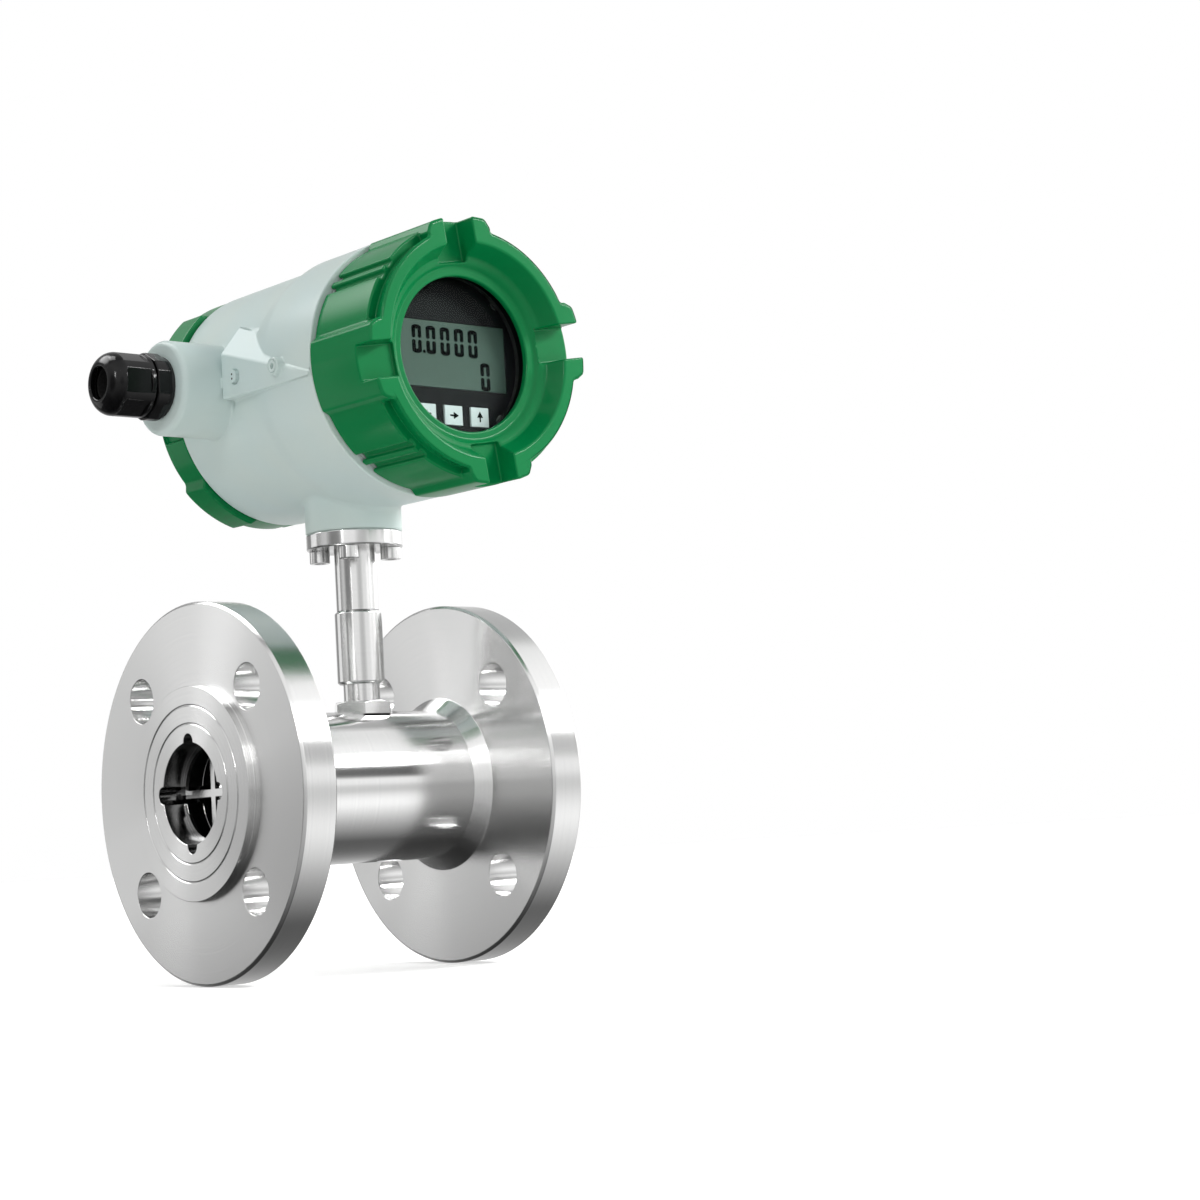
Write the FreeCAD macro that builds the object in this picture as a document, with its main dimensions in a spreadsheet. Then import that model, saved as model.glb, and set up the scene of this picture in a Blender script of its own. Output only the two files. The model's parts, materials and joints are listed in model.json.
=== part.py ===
"""Liquid turbine flow sensor with two pipe flanges and a display head.

Origin: centre of the inlet flange's raised face. +X runs along the pipe to the
outlet, +Z rises along the neck to the head, and the display looks along -Y.
"""
import FreeCAD
import Part
import Sketcher
import math
import os
from types import SimpleNamespace

Vector = FreeCAD.Vector
Rotation = FreeCAD.Rotation

SIZES = {
    # pipe section: a DN 40 flanged spool
    "face_to_face": 140,
    "bore_d": 40,
    "tube_d": 62,
    "flange_d": 150,
    "disc_thickness": 15,
    "raised_height": 3,
    "raised_d": 84,
    "rim_chamfer": 1,
    "hub_d": 72,
    "hub_length": 6,
    "bolt_circle": 110,
    "bolt_hole_d": 18,
    "bolt_count": 4,
    "inner_groove_d": 54.6,
    "outer_groove_d": 69,
    "groove_depth": 0.4,
    "keyway_r": 3.4,
    "keyway_count": 4,
    "ring_seat": 9,
    "ring_width": 1.5,
    "ring_depth": 1.5,
    "ring_height": 3.5,
    "ring_gap_angle": 24,
    # flow guides and turbine
    "vane_thickness": 3.2,
    "vane_tip_gap": 0.6,
    "vane_corner": 3,
    "inlet_vane_length": 48,
    "outlet_vane_length": 28,
    "guide_hub_r": 8,
    "nose_setback": 1.5,
    "bush_r": 3.2,
    "bush_length": 6,
    "shaft_r": 1.5,
    "running_gap": 0.04,
    "end_play": 0.15,
    "rotor_hub_r": 8,
    "rotor_length": 16,
    "rotor_side_gap": 1.2,
    "blade_count": 6,
    "blade_tip_gap": 0.5,
    "blade_thickness": 1.4,
    "blade_twist": 40,
    "blade_inset": 1,
    # neck, each length stacked on the one before it from the flat on the tube
    "neck_x": 84,
    "coil_wall": 5,
    "flat_cut": 1.5,
    "flat_r": 14,
    "nut_across": 22,
    "nut_height": 5.5,
    "nut_chamfer": 1.2,
    "stem_r": 7.5,
    "stem_thread_r": 6,
    "thread_gap": 0.1,
    "stem_bore_r": 5,
    "stem_floor": 1.2,
    "coil_r": 4.8,
    "coil_length": 32,
    "stem_bare": 12.7,
    "sleeve_length": 30.4,
    "sleeve_r": 9.75,
    "sleeve_chamfer": 1,
    "socket_depth": 10,
    "neck_tube_r": 8.75,
    "neck_bore_r": 5.5,
    "neck_tube_length": 25.7,
    "neck_flange_thickness": 6.7,
    "neck_flange_r": 20,
    "neck_flange_chamfer": 0.6,
    "tube_socket_depth": 4,
    "neck_seal_r": 10.5,
    "neck_seal_width": 2,
    "neck_seal_height": 2,
    "neck_screw_circle_r": 14.8,
    "neck_screw_r": 2.5,
    "neck_screw_head_r": 4.25,
    "neck_screw_head": 5,
    "neck_screw_reach": 10,
    "screw_gap": 0.25,
    "screw_count": 4,
    "socket_r": 2.3,
    "socket_deep": 2.6,
    "lead_r": 1.5,
    "lead_bend": 8,
    "lead_drop": 36,
    # head housing, measured from the neck axis along the head axis
    "housing_r": 50.5,
    "foot_drop": 10.5,
    "collar_rise": 2,
    "collar_start": 6,
    "collar_full": 18,
    "front_shoulder": 50,
    "rear_shoulder": 52.5,
    "front_neck_length": 18,
    "rear_neck_length": 11,
    "cover_neck_step": 4,
    "cover_neck_wall": 3,
    "partition_front": -9,
    "partition_thickness": 3.5,
    "foot_r": 20,
    "foot_rounding": 2.5,
    "wall_root": 1.5,
    "boss_y": 28.4,
    "boss_r": 19.5,
    "boss_rise": 22.5,
    "boss_rounding": 2.5,
    "cable_hole_past_wall": 8,
    "pad_start": -9,
    "pad_end_gap": 1,
    "pad_rise": 5.1,
    "pad_tip_rise": 0.2,
    "pad_floor": -7,
    "pad_top": 12,
    "pad_crest": 24,
    "pad_tip_top": -5.5,
    "pad_tip_crest": 4,
    "pad_root_rise": 1,
    "lock_boss_r": 3.6,
    "lock_boss_rise": 0.8,
    "lock_boss_along": 29,
    "lock_screw_r": 2.4,
    "lock_screw_length": 5,
    "ground_screw_r": 1.5,
    "ground_head_r": 2.6,
    "ground_head": 1.6,
    "ground_hole_wall": 2,
    "ground_tip_gap": 0.5,
    "ground_along": 0,
    "ground_height": 1,
    # covers
    "cover_gap": 0.3,
    "cover_clearance": 0.3,
    "seal_width": 2,
    "seal_height": 1.9,
    "panel_length": 34.7,
    "crown_rise": 6,
    "crown_root_inset": 4,
    "crown_inset": 2.5,
    "crown_width": 5.3,
    "crown_bevel": 0.5,
    "dial_depth": 10.1,
    "dial_width": 3.4,
    "cove_rise": 2.7,
    "cove_width": 4.2,
    "cove_radius": 6,
    "lip_height": 0.6,
    "lip_width": 0.9,
    "window_r": 31,
    "bezel_thickness": 2.9,
    "glass_lap": 5.3,
    "pocket_depth": 7,
    "lobe_count": 4,
    "lobe_rise": 2.3,
    "lobe_root_depth": 5.3,
    "lobe_foot_depth": 0.9,
    "lobe_half_angle": 15,
    "lobe_foot_angle": 18.6,
    "lobe_clock": 9,
    "notch_width": 14,
    "notch_root_inset": 2.6,
    "flute_depth": 1.9,
    "flute_inner_angle": 1.6,
    "flute_outer_angle": 5.4,
    "gasket_thickness": 0.6,
    "gasket_inset": 1,
    "glass_thickness": 4,
    "glass_fit": 0.3,
    "retainer_thickness": 2.2,
    "retainer_lap": 1.4,
    "rear_cap_length": 17.2,
    "rear_cap_wall": 4,
    "rear_skirt_inset": 0.3,
    "rear_chamfer": 2,
    "rear_clock": 32,
    # electronics stack
    "post_r": 4.5,
    "post_inset": 9.5,
    "post_front": 26,
    "post_hole_deep": 9,
    "post_count": 4,
    "board_thickness": 1.6,
    "main_board_gap": 2.5,
    "display_board_gap": 5,
    "display_room": 8.4,
    "board_hole_r": 1.6,
    "stud_r": 1.5,
    "stud_end_gap": 1,
    "standoff_across": 6,
    "display_gap": 1.2,
    "face_plate_thickness": 2,
    "spacer_r": 3,
    "screw_head_r": 2.8,
    "face_screw_reach": 7,
    "lcd_width": 56,
    "lcd_height": 26.5,
    "lcd_rise": 1.25,
    "lcd_border": 3,
    "lcd_fit": 0.2,
    "lcd_setback": 0.3,
    "key_width": 9,
    "key_height": 8,
    "key_pitch": 13.1,
    "key_drop": 23,
    "key_gap": 0.15,
    "key_rise": 0.8,
    "key_flange": 0.8,
    "key_flange_thickness": 1.2,
    "key_travel": 0.5,
    "key_stem_r": 1.7,
    "key_float": 0.15,
    "switch_side": 6.4,
    "switch_height": 3.5,
    "switch_hole_r": 1.85,
    "terminal_width": 52,
    "terminal_height": 16,
    "terminal_depth": 15,
    "terminal_step": 7,
    "terminal_screw_r": 2.6,
    "terminal_screw_depth": 6,
    "terminal_pitch": 9.5,
    "feed_r": 5,
    "feed_flange_r": 7,
    "feed_flange": 2,
    "feed_rise": 24,
    # cable gland, measured outwards from the boss face
    "gland_thread_r": 10,
    "gland_thread_length": 13,
    "gland_hole_gap": 0.1,
    "gland_washer": 1.5,
    "gland_washer_r": 12.6,
    "gland_collar_end": 8,
    "gland_collar_r": 13.7,
    "gland_collar_across": 26,
    "gland_bore_r": 7,
    "gland_spigot_end": 18,
    "gland_spigot_r": 9.5,
    "gland_seat_r": 8.6,
    "gland_seat": 10,
    "nut_start": 8.3,
    "nut_r": 12.9,
    "nut_flats_across": 24,
    "nut_flats_start": 10.5,
    "nut_flats_length": 11,
    "nut_dome_start": 21,
    "nut_end": 28,
    "nut_mouth_r": 7.8,
    "nut_hole_r": 6.7,
    "nut_bore_r": 9.8,
    "nut_cone_start": 20,
    "nut_cone_end": 26,
    "seal_bore_r": 6.2,
    "seal_outer_r": 8.4,
    "seal_tip_r": 7.1,
    "seal_taper": 19.5,
    "seal_end": 24.5,
    "seal_float": 0.1,
}


class Dim:
    """A length or count with the sheet expression that gives it."""

    def __init__(self, value, text):
        self.value = value
        self.text = text

    def joined(self, sign, other, value):
        return Dim(value, f"({self.text} {sign} {text_of(other)})")

    def __add__(self, other):
        return self.joined("+", other, self.value + value_of(other))

    def __sub__(self, other):
        return self.joined("-", other, self.value - value_of(other))

    def __mul__(self, other):
        return self.joined("*", other, self.value * value_of(other))

    def __truediv__(self, other):
        return self.joined("/", other, self.value / value_of(other))

    def __radd__(self, other):
        return Dim(other, str(other)) + self

    def __rsub__(self, other):
        return Dim(other, str(other)) - self

    def __rmul__(self, other):
        return Dim(other, str(other)) * self

    def __neg__(self):
        return Dim(-self.value, f"(0 - {self.text})")


def value_of(number):
    return number.value if isinstance(number, Dim) else number


def text_of(number):
    return number.text if isinstance(number, Dim) else str(number)


def cosine(angle):
    return Dim(math.cos(math.radians(value_of(angle))), f"cos({text_of(angle)})")


def sine(angle):
    return Dim(math.sin(math.radians(value_of(angle))), f"sin({text_of(angle)})")


doc = FreeCAD.newDocument("FlowSensor")
sheet = doc.addObject("Spreadsheet::Sheet", "Size")
for row, (alias, number) in enumerate(SIZES.items(), 1):
    sheet.set(f"A{row}", alias)
    sheet.set(f"B{row}", str(number))
    sheet.setAlias(f"B{row}", alias)
doc.recompute()
s = SimpleNamespace(**{alias: Dim(number, f"Size.{alias}") for alias, number in SIZES.items()})

# Sizes stacked on one another, so that each piece keeps its place on its neighbour
tube_flat = s.tube_d / 2 - s.flat_cut
coil_hole_floor = s.bore_d / 2 + s.coil_wall
sleeve_foot = tube_flat + s.stem_bare
sleeve_top = sleeve_foot + s.sleeve_length
neck_flange_foot = sleeve_top + s.neck_tube_length
neck_flange_top = neck_flange_foot + s.neck_flange_thickness
head_z = neck_flange_top + s.housing_r + s.foot_drop

collar_r = s.housing_r + s.collar_rise
cover_neck_r = s.housing_r - s.cover_neck_step
chamber_r = cover_neck_r - s.cover_neck_wall
wall_root = chamber_r + s.wall_root
boss_face = s.housing_r + s.boss_rise
pad_end = s.front_shoulder - s.pad_end_gap
pad_out = s.housing_r + s.pad_rise
pad_out_front = collar_r + s.pad_tip_rise
lock_out = pad_out + s.lock_boss_rise
ground_seat = pad_out - s.ground_head / 2

front_rim = s.front_shoulder + s.cover_gap
panel_front = front_rim + s.panel_length
crown_front = panel_front + s.crown_rise
crown_root_r = s.housing_r - s.crown_root_inset
crown_outer_r = s.housing_r - s.crown_inset
crown_inner_r = crown_outer_r - s.crown_width
dial_face = crown_front - s.dial_depth
dial_outer_r = s.window_r + s.dial_width
cove_along = dial_face + s.cove_rise
cove_r = dial_outer_r + s.cove_width
notch_root_r = cove_r - s.notch_root_inset
lobe_r = s.housing_r + s.lobe_rise
lobe_root_r = s.housing_r - s.lobe_root_depth
lobe_foot_r = s.housing_r - s.lobe_foot_depth
rear_skirt_r = s.housing_r - s.rear_skirt_inset

glass_seat = dial_face - s.bezel_thickness
inner_step = glass_seat - s.pocket_depth
glass_r = s.window_r + s.glass_lap
glass_pocket_r = glass_r + s.glass_fit
retainer_inner_r = s.window_r + s.retainer_lap
glass_front = glass_seat - s.gasket_thickness
glass_back = glass_front - s.glass_thickness
retainer_back = glass_back - s.retainer_thickness
face_front = retainer_back - s.display_gap
face_plate_back = face_front - s.face_plate_thickness
display_board_front = face_plate_back - s.display_room
display_board_back = display_board_front - s.board_thickness
main_board_front = s.post_front + s.board_thickness
post_circle_r = chamber_r - s.post_inset
display_board_r = chamber_r - s.display_board_gap

pieces = []

# Cuts start or end this far outside the metal that they cut.
CLEAR = 1
# Points this close together are one point.
NEAR = 0.01

# Frames: a turn, and the place of the piece's own origin. In each the piece's
# own X axis runs along its axis of turning.
X_AXIS, Y_AXIS, Z_AXIS = Vector(1, 0, 0), Vector(0, 1, 0), Vector(0, 0, 1)
INLET = (Rotation(), (0, 0, 0))
OUTLET = (Rotation(Z_AXIS, 180), (s.face_to_face, 0, 0))
NECK = (Rotation(Y_AXIS, -90), (s.neck_x, 0, 0))
FRONT = (Rotation(Z_AXIS, -90), (s.neck_x, 0, head_z))
REAR = (Rotation(Z_AXIS, 90), (s.neck_x, 0, head_z))
GLAND = (Rotation(Z_AXIS, 180), (s.neck_x - boss_face, s.boss_y, head_z))


def bind(thing, path, size):
    """Ties a property to the sheet, or sets it where it is a plain number."""
    if isinstance(size, Dim):
        thing.setExpression(path, size.text)


def new_body(label, frame):
    turn, place = frame
    body = doc.addObject("PartDesign::Body", label)
    body.Label = label
    body.AllowCompound = True
    body.Placement = FreeCAD.Placement(Vector(*[value_of(p) for p in place]), turn)
    for axis, size in zip("xyz", place):
        bind(body, f"Placement.Base.{axis}", size)
    pieces.append(body)
    return body


def origin_feature(body, role):
    return next(part for part in body.Origin.OriginFeatures if part.Role == role)


def new_sketch(body, name, plane="XY_Plane", lift=0, spin=0):
    """A sketch on one of the body's own planes, lifted off it and spun in it."""
    sketch = body.newObject("Sketcher::SketchObject", name)
    sketch.AttachmentSupport = [(origin_feature(body, plane), "")]
    sketch.MapMode = "FlatFace"
    sketch.AttachmentOffset = FreeCAD.Placement(
        Vector(0, 0, value_of(lift)), Rotation(Z_AXIS, value_of(spin)))
    bind(sketch, "AttachmentOffset.Base.z", lift)
    bind(sketch, "AttachmentOffset.Rotation.Angle", spin)
    return sketch


def fix_point(sketch, geometry, corner, across, up):
    """Ties one point of the sketch to its two distances from the origin."""
    for kind, size, axis in (("DistanceX", across, -2), ("DistanceY", up, -1)):
        if isinstance(size, Dim) or size != 0:
            index = sketch.addConstraint(
                Sketcher.Constraint(kind, -1, 1, geometry, corner, float(value_of(size))))
            bind(sketch, f"Constraints[{index}]", size)
        else:
            sketch.addConstraint(Sketcher.Constraint("PointOnObject", geometry, corner, axis))


def fix_radius(sketch, geometry, radius):
    index = sketch.addConstraint(
        Sketcher.Constraint("Radius", geometry, float(abs(value_of(radius)))))
    bind(sketch, f"Constraints[{index}]", -radius if value_of(radius) < 0 else radius)


def arc_between(start, end, bow):
    """The short arc from start to end; a positive radius turns left."""
    chord = end - start
    lift = math.sqrt(max(bow * bow - (chord.Length / 2) ** 2, 0.0))
    side = Vector(-chord.y, chord.x, 0).normalize() * (lift if bow > 0 else -lift)
    centre = (start + end) * 0.5 + side
    first, last = (start, end) if bow > 0 else (end, start)
    angles = [math.atan2(p.y - centre.y, p.x - centre.x) for p in (first, last)]
    return Part.ArcOfCircle(Part.Circle(centre, Z_AXIS, abs(bow)), angles[0], angles[1])


def outline(sketch, points):
    """A closed loop; a third value on a point is the radius of the span after it."""
    spots = [Vector(value_of(p[0]), value_of(p[1]), 0) for p in points]
    count = len(points)
    spans = []
    for index, point in enumerate(points):
        start, end = spots[index], spots[(index + 1) % count]
        if len(point) == 3:
            bow = value_of(point[2])
            geometry = sketch.addGeometry(arc_between(start, end, bow))
            spans.append((geometry, 1, 2) if bow > 0 else (geometry, 2, 1))
        else:
            spans.append((sketch.addGeometry(Part.LineSegment(start, end)), 1, 2))
    for index, (geometry, first, last) in enumerate(spans):
        following, opening, _ = spans[(index + 1) % count]
        sketch.addConstraint(
            Sketcher.Constraint("Coincident", geometry, last, following, opening))
    for (geometry, first, last), point in zip(spans, points):
        fix_point(sketch, geometry, first, point[0], point[1])
        if len(point) == 3:
            fix_radius(sketch, geometry, point[2])
    return sketch


def circle(sketch, across, up, radius):
    centre = Vector(value_of(across), value_of(up), 0)
    geometry = sketch.addGeometry(Part.Circle(centre, Z_AXIS, value_of(radius)))
    fix_point(sketch, geometry, 3, across, up)
    fix_radius(sketch, geometry, radius)
    return sketch


def box_outline(sketch, left, right, low, high):
    return outline(sketch, [(left, low), (right, low), (right, high), (left, high)])


def hexagon(sketch, across):
    """A hexagon about the origin, given by its distance across the flats."""
    corner = across / 2 / cosine(30)
    points = [(corner * cosine(a), corner * sine(a)) for a in (30, 90, 150, 210, 270, 330)]
    points = [(0 if abs(x.value) < 1e-9 else x, y) for x, y in points]
    return outline(sketch, points)


def spun(body, sketch, kind="Revolution", angle=360):
    feature = body.newObject(f"PartDesign::{kind}", kind)
    feature.Profile = sketch
    feature.ReferenceAxis = (sketch, ["H_Axis"])
    feature.Angle = value_of(angle)
    bind(feature, "Angle", angle)
    return feature


def raised(body, sketch, length, back=False):
    pad = body.newObject("PartDesign::Pad", "Pad")
    pad.Profile = sketch
    pad.Length = value_of(length)
    pad.Reversed = back
    bind(pad, "Length", length)
    return pad


def sunk(body, sketch, length, ahead=True):
    """A pocket that runs along the sketch's normal, or against it."""
    pocket = body.newObject("PartDesign::Pocket", "Pocket")
    pocket.Profile = sketch
    pocket.Length = value_of(length)
    pocket.Reversed = ahead
    bind(pocket, "Length", length)
    return pocket


def repeated(body, feature, count, role="X_Axis"):
    pattern = body.newObject("PartDesign::PolarPattern", "Pattern")
    pattern.Originals = [feature]
    pattern.Axis = (origin_feature(body, role), [""])
    pattern.Angle = 360
    pattern.Occurrences = value_of(count)
    bind(pattern, "Occurrences", count)
    body.Tip = pattern
    return pattern


def softened(body, feature, kind, size, wanted):
    """Rounds or bevels those edges of a feature that the test picks."""
    doc.recompute()
    names = [f"Edge{number}" for number, edge in enumerate(feature.Shape.Edges, 1) if wanted(edge)]
    soft = body.newObject(f"PartDesign::{kind}", kind)
    soft.Base = (feature, names)
    setting = "Radius" if kind == "Fillet" else "Size"
    setattr(soft, setting, value_of(size))
    bind(soft, setting, size)
    return soft


def turned(label, frame, points, angle=360):
    body = new_body(label, frame)
    section = outline(new_sketch(body, "section"), points)
    spun(body, section, angle=angle)
    return body


def ring_piece(label, frame, start, end, inner, outer):
    return turned(label, frame, [(start, inner), (end, inner), (end, outer), (start, outer)])


def keyways(body, start, length):
    """Half-round grooves down the bore that hold the tips of the guide vanes."""
    groove = circle(new_sketch(body, "keyway", "YZ_Plane", start), s.bore_d / 2, 0, s.keyway_r)
    repeated(body, sunk(body, groove, length), s.keyway_count)


# Pipe section

flange_back = s.raised_height + s.disc_thickness


def flange(label, frame):
    """Flange with raised face, two fine sealing grooves, weld hub and ring groove."""
    bore, rim, chamfer = s.bore_d / 2, s.flange_d / 2, s.rim_chamfer
    seat_end = s.ring_seat + s.ring_width
    points = [(0, bore)]
    for middle in (s.inner_groove_d / 2, s.outer_groove_d / 2):
        points += [(0, middle - s.groove_depth), (s.groove_depth, middle),
                   (0, middle + s.groove_depth)]
    points += [
        (0, s.raised_d / 2), (s.raised_height, s.raised_d / 2),
        (s.raised_height, rim - chamfer), (s.raised_height + chamfer, rim),
        (flange_back - chamfer, rim), (flange_back, rim - chamfer),
        (flange_back, s.hub_d / 2), (flange_back + s.hub_length, s.tube_d / 2),
        (flange_back, s.tube_d / 2), (flange_back, bore),
        (seat_end, bore), (seat_end, bore + s.ring_depth),
        (s.ring_seat, bore + s.ring_depth), (s.ring_seat, bore)]
    body = turned(label, frame, points)
    keyways(body, 0, flange_back)
    bolt = circle(new_sketch(body, "bolt_hole", "YZ_Plane", s.raised_height, 45),
                  s.bolt_circle / 2, 0, s.bolt_hole_d / 2)
    repeated(body, sunk(body, bolt, s.disc_thickness), s.bolt_count)


def meter_tube():
    length = s.face_to_face - 2 * flange_back
    body = ring_piece("meter_tube", INLET, flange_back, flange_back + length,
                      s.bore_d / 2, s.tube_d / 2)
    keyways(body, flange_back, length)
    flat = circle(new_sketch(body, "flat", lift=tube_flat), s.neck_x, 0, s.flat_r)
    sunk(body, flat, s.tube_d / 2 - tube_flat + CLEAR)
    hole = circle(new_sketch(body, "coil_hole", lift=coil_hole_floor),
                  s.neck_x, 0, s.stem_thread_r + s.thread_gap)
    sunk(body, hole, s.tube_d / 2 - coil_hole_floor)


def snap_ring(label, frame):
    """Open spring ring in the bore groove that keeps a flow guide in."""
    outer = s.bore_d / 2 + s.ring_depth
    turned(label, frame, [
        (s.ring_seat, outer - s.ring_height), (s.ring_seat + s.ring_width, outer - s.ring_height),
        (s.ring_seat + s.ring_width, outer), (s.ring_seat, outer)],
        angle=360 - s.ring_gap_angle)


def flow_guide(label, frame, hub_end, vane_length):
    """Straightener: a nosed hub that carries the bush, and four keyed vanes."""
    front = s.ring_seat + s.ring_width
    nose = front + s.nose_setback
    radius = s.guide_hub_r
    body = turned(label, frame, [
        (nose, 0, -radius), (nose + radius, radius), (hub_end, radius),
        (hub_end, s.bush_r), (hub_end - s.bush_length, s.bush_r), (hub_end - s.bush_length, 0)])
    tip = s.bore_d / 2 + s.keyway_r - s.vane_tip_gap
    vane = outline(new_sketch(body, "vane", lift=-s.vane_thickness / 2), [
        (front, 0), (front + vane_length, 0),
        (front + vane_length, tip), (front + s.vane_corner, tip, s.vane_corner),
        (front, tip - s.vane_corner)])
    repeated(body, raised(body, vane, s.vane_thickness), s.keyway_count)


inlet_hub_end = s.neck_x - s.rotor_length / 2 - s.rotor_side_gap
outlet_hub_end = s.face_to_face - s.neck_x - s.rotor_length / 2 - s.rotor_side_gap


def bush(label, frame, hub_end):
    ring_piece(label, frame, hub_end - s.bush_length, hub_end,
               s.shaft_r + s.running_gap, s.bush_r)


def rotor():
    """Turbine wheel: a hub with twisted blades lofted through three sections."""
    start = s.neck_x - s.rotor_length / 2
    body = ring_piece("rotor", INLET, start, start + s.rotor_length, s.shaft_r, s.rotor_hub_r)
    tip = s.bore_d / 2 - s.blade_tip_gap
    half = s.blade_thickness / 2
    reach = s.rotor_length / 2 - s.blade_inset
    sections = []
    for name, step in (("lead", -1), ("middle", 0), ("trail", 1)):
        section = new_sketch(body, name, "YZ_Plane", s.neck_x + step * reach,
                             s.blade_twist / 2 * step)
        box_outline(section, s.rotor_hub_r - s.blade_thickness, tip, -half, half)
        sections.append(section)
    blade = body.newObject("PartDesign::AdditiveLoft", "Blade")
    blade.Profile = sections[0]
    blade.Sections = sections[1:]
    repeated(body, blade, s.blade_count)


def rotor_shaft():
    start = inlet_hub_end - s.bush_length + s.end_play
    end = s.face_to_face - outlet_hub_end + s.bush_length - s.end_play
    turned("rotor_shaft", INLET, [(start, 0), (end, 0), (end, s.shaft_r), (start, s.shaft_r)])


# Neck

stem_foot = coil_hole_floor + s.thread_gap
stem_top = sleeve_foot + s.socket_depth
coil_foot = stem_foot + s.stem_floor
spigot_foot = sleeve_top - s.socket_depth
tube_top = neck_flange_foot + s.tube_socket_depth


def neck_stem():
    turned("neck_stem", NECK, [
        (stem_foot, 0), (stem_foot, s.stem_thread_r), (tube_flat, s.stem_thread_r),
        (tube_flat, s.stem_r), (stem_top, s.stem_r), (stem_top, s.stem_bore_r),
        (coil_foot, s.stem_bore_r), (coil_foot, 0)])


def lock_nut():
    body = new_body("lock_nut", NECK)
    raised(body, hexagon(new_sketch(body, "hexagon", "YZ_Plane", tube_flat), s.nut_across),
           s.nut_height)
    hole = circle(new_sketch(body, "hole", "YZ_Plane", tube_flat), 0, 0, s.stem_r)
    sunk(body, hole, s.nut_height)
    corner = s.nut_across / 2 + s.nut_chamfer
    top = tube_flat + s.nut_height
    bevel = outline(new_sketch(body, "bevel"), [
        (top - s.nut_chamfer, corner + s.nut_chamfer), (top, corner - s.nut_chamfer),
        (top + s.nut_chamfer, corner - s.nut_chamfer),
        (top + s.nut_chamfer, corner + s.nut_chamfer)])
    spun(body, bevel, "Groove")


def pickup_coil():
    """Coil on its former, with the magnet pole in its middle."""
    end = coil_foot + s.coil_length
    turned("pickup_coil", NECK, [
        (coil_foot, 0), (coil_foot, s.coil_r), (end, s.coil_r), (end, 0)])


def pickup_lead():
    """Signal lead from the coil up the neck, then forward to the main board."""
    body = new_body("pickup_lead", NECK)
    foot = coil_foot + s.coil_length
    crest = head_z - s.lead_drop
    path = new_sketch(body, "path", "XY_Plane")
    up = path.addGeometry(Part.LineSegment(
        Vector(foot.value, 0, 0), Vector((crest - s.lead_bend).value, 0, 0)))
    bend = path.addGeometry(arc_between(
        Vector((crest - s.lead_bend).value, 0, 0), Vector(crest.value, -s.lead_bend.value, 0),
        -s.lead_bend.value))
    ahead = path.addGeometry(Part.LineSegment(
        Vector(crest.value, -s.lead_bend.value, 0), Vector(crest.value, -s.post_front.value, 0)))
    path.addConstraint(Sketcher.Constraint("Coincident", up, 2, bend, 2))
    path.addConstraint(Sketcher.Constraint("Coincident", bend, 1, ahead, 1))
    fix_point(path, up, 1, foot, 0)
    fix_point(path, up, 2, crest - s.lead_bend, 0)
    fix_point(path, ahead, 1, crest, -s.lead_bend)
    fix_point(path, ahead, 2, crest, -s.post_front)
    fix_radius(path, bend, s.lead_bend)
    section = circle(new_sketch(body, "section", "YZ_Plane", foot), 0, 0, s.lead_r)
    pipe = body.newObject("PartDesign::AdditivePipe", "Lead")
    pipe.Profile = section
    pipe.Spine = path


def neck_sleeve():
    chamfer = s.sleeve_chamfer
    turned("neck_sleeve", NECK, [
        (sleeve_foot, s.stem_r), (sleeve_foot, s.sleeve_r - chamfer),
        (sleeve_foot + chamfer, s.sleeve_r), (sleeve_top - chamfer, s.sleeve_r),
        (sleeve_top, s.sleeve_r - chamfer), (sleeve_top, s.stem_r),
        (spigot_foot, s.stem_r), (spigot_foot, s.neck_bore_r),
        (stem_top, s.neck_bore_r), (stem_top, s.stem_r)])


def neck_tube():
    turned("neck_tube", NECK, [
        (spigot_foot, s.neck_bore_r), (spigot_foot, s.stem_r), (sleeve_top, s.stem_r),
        (sleeve_top, s.neck_tube_r), (tube_top, s.neck_tube_r), (tube_top, s.neck_bore_r)])


def neck_flange():
    """Round flange under the housing foot, with the seal groove in its top face."""
    edge, foot, top = s.neck_flange_chamfer, neck_flange_foot, neck_flange_top
    groove = s.neck_seal_height
    inner, outer = s.neck_seal_r - s.neck_seal_width / 2, s.neck_seal_r + s.neck_seal_width / 2
    body = turned("neck_flange", NECK, [
        (foot, s.neck_tube_r), (foot, s.neck_flange_r - edge), (foot + edge, s.neck_flange_r),
        (top - edge, s.neck_flange_r), (top, s.neck_flange_r - edge),
        (top, outer), (top - groove, outer), (top - groove, inner), (top, inner),
        (top, s.neck_bore_r), (tube_top, s.neck_bore_r), (tube_top, s.neck_tube_r)])
    hole = circle(new_sketch(body, "screw_hole", "YZ_Plane", foot, 45),
                  s.neck_screw_circle_r, 0, s.neck_screw_r + s.screw_gap)
    repeated(body, sunk(body, hole, top - foot), s.screw_count)


def neck_seal():
    """Flat ring that fills the flange's groove."""
    half = s.neck_seal_width / 2
    ring_piece("neck_seal", NECK, neck_flange_top - s.neck_seal_height, neck_flange_top,
               s.neck_seal_r - half, s.neck_seal_r + half)


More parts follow.
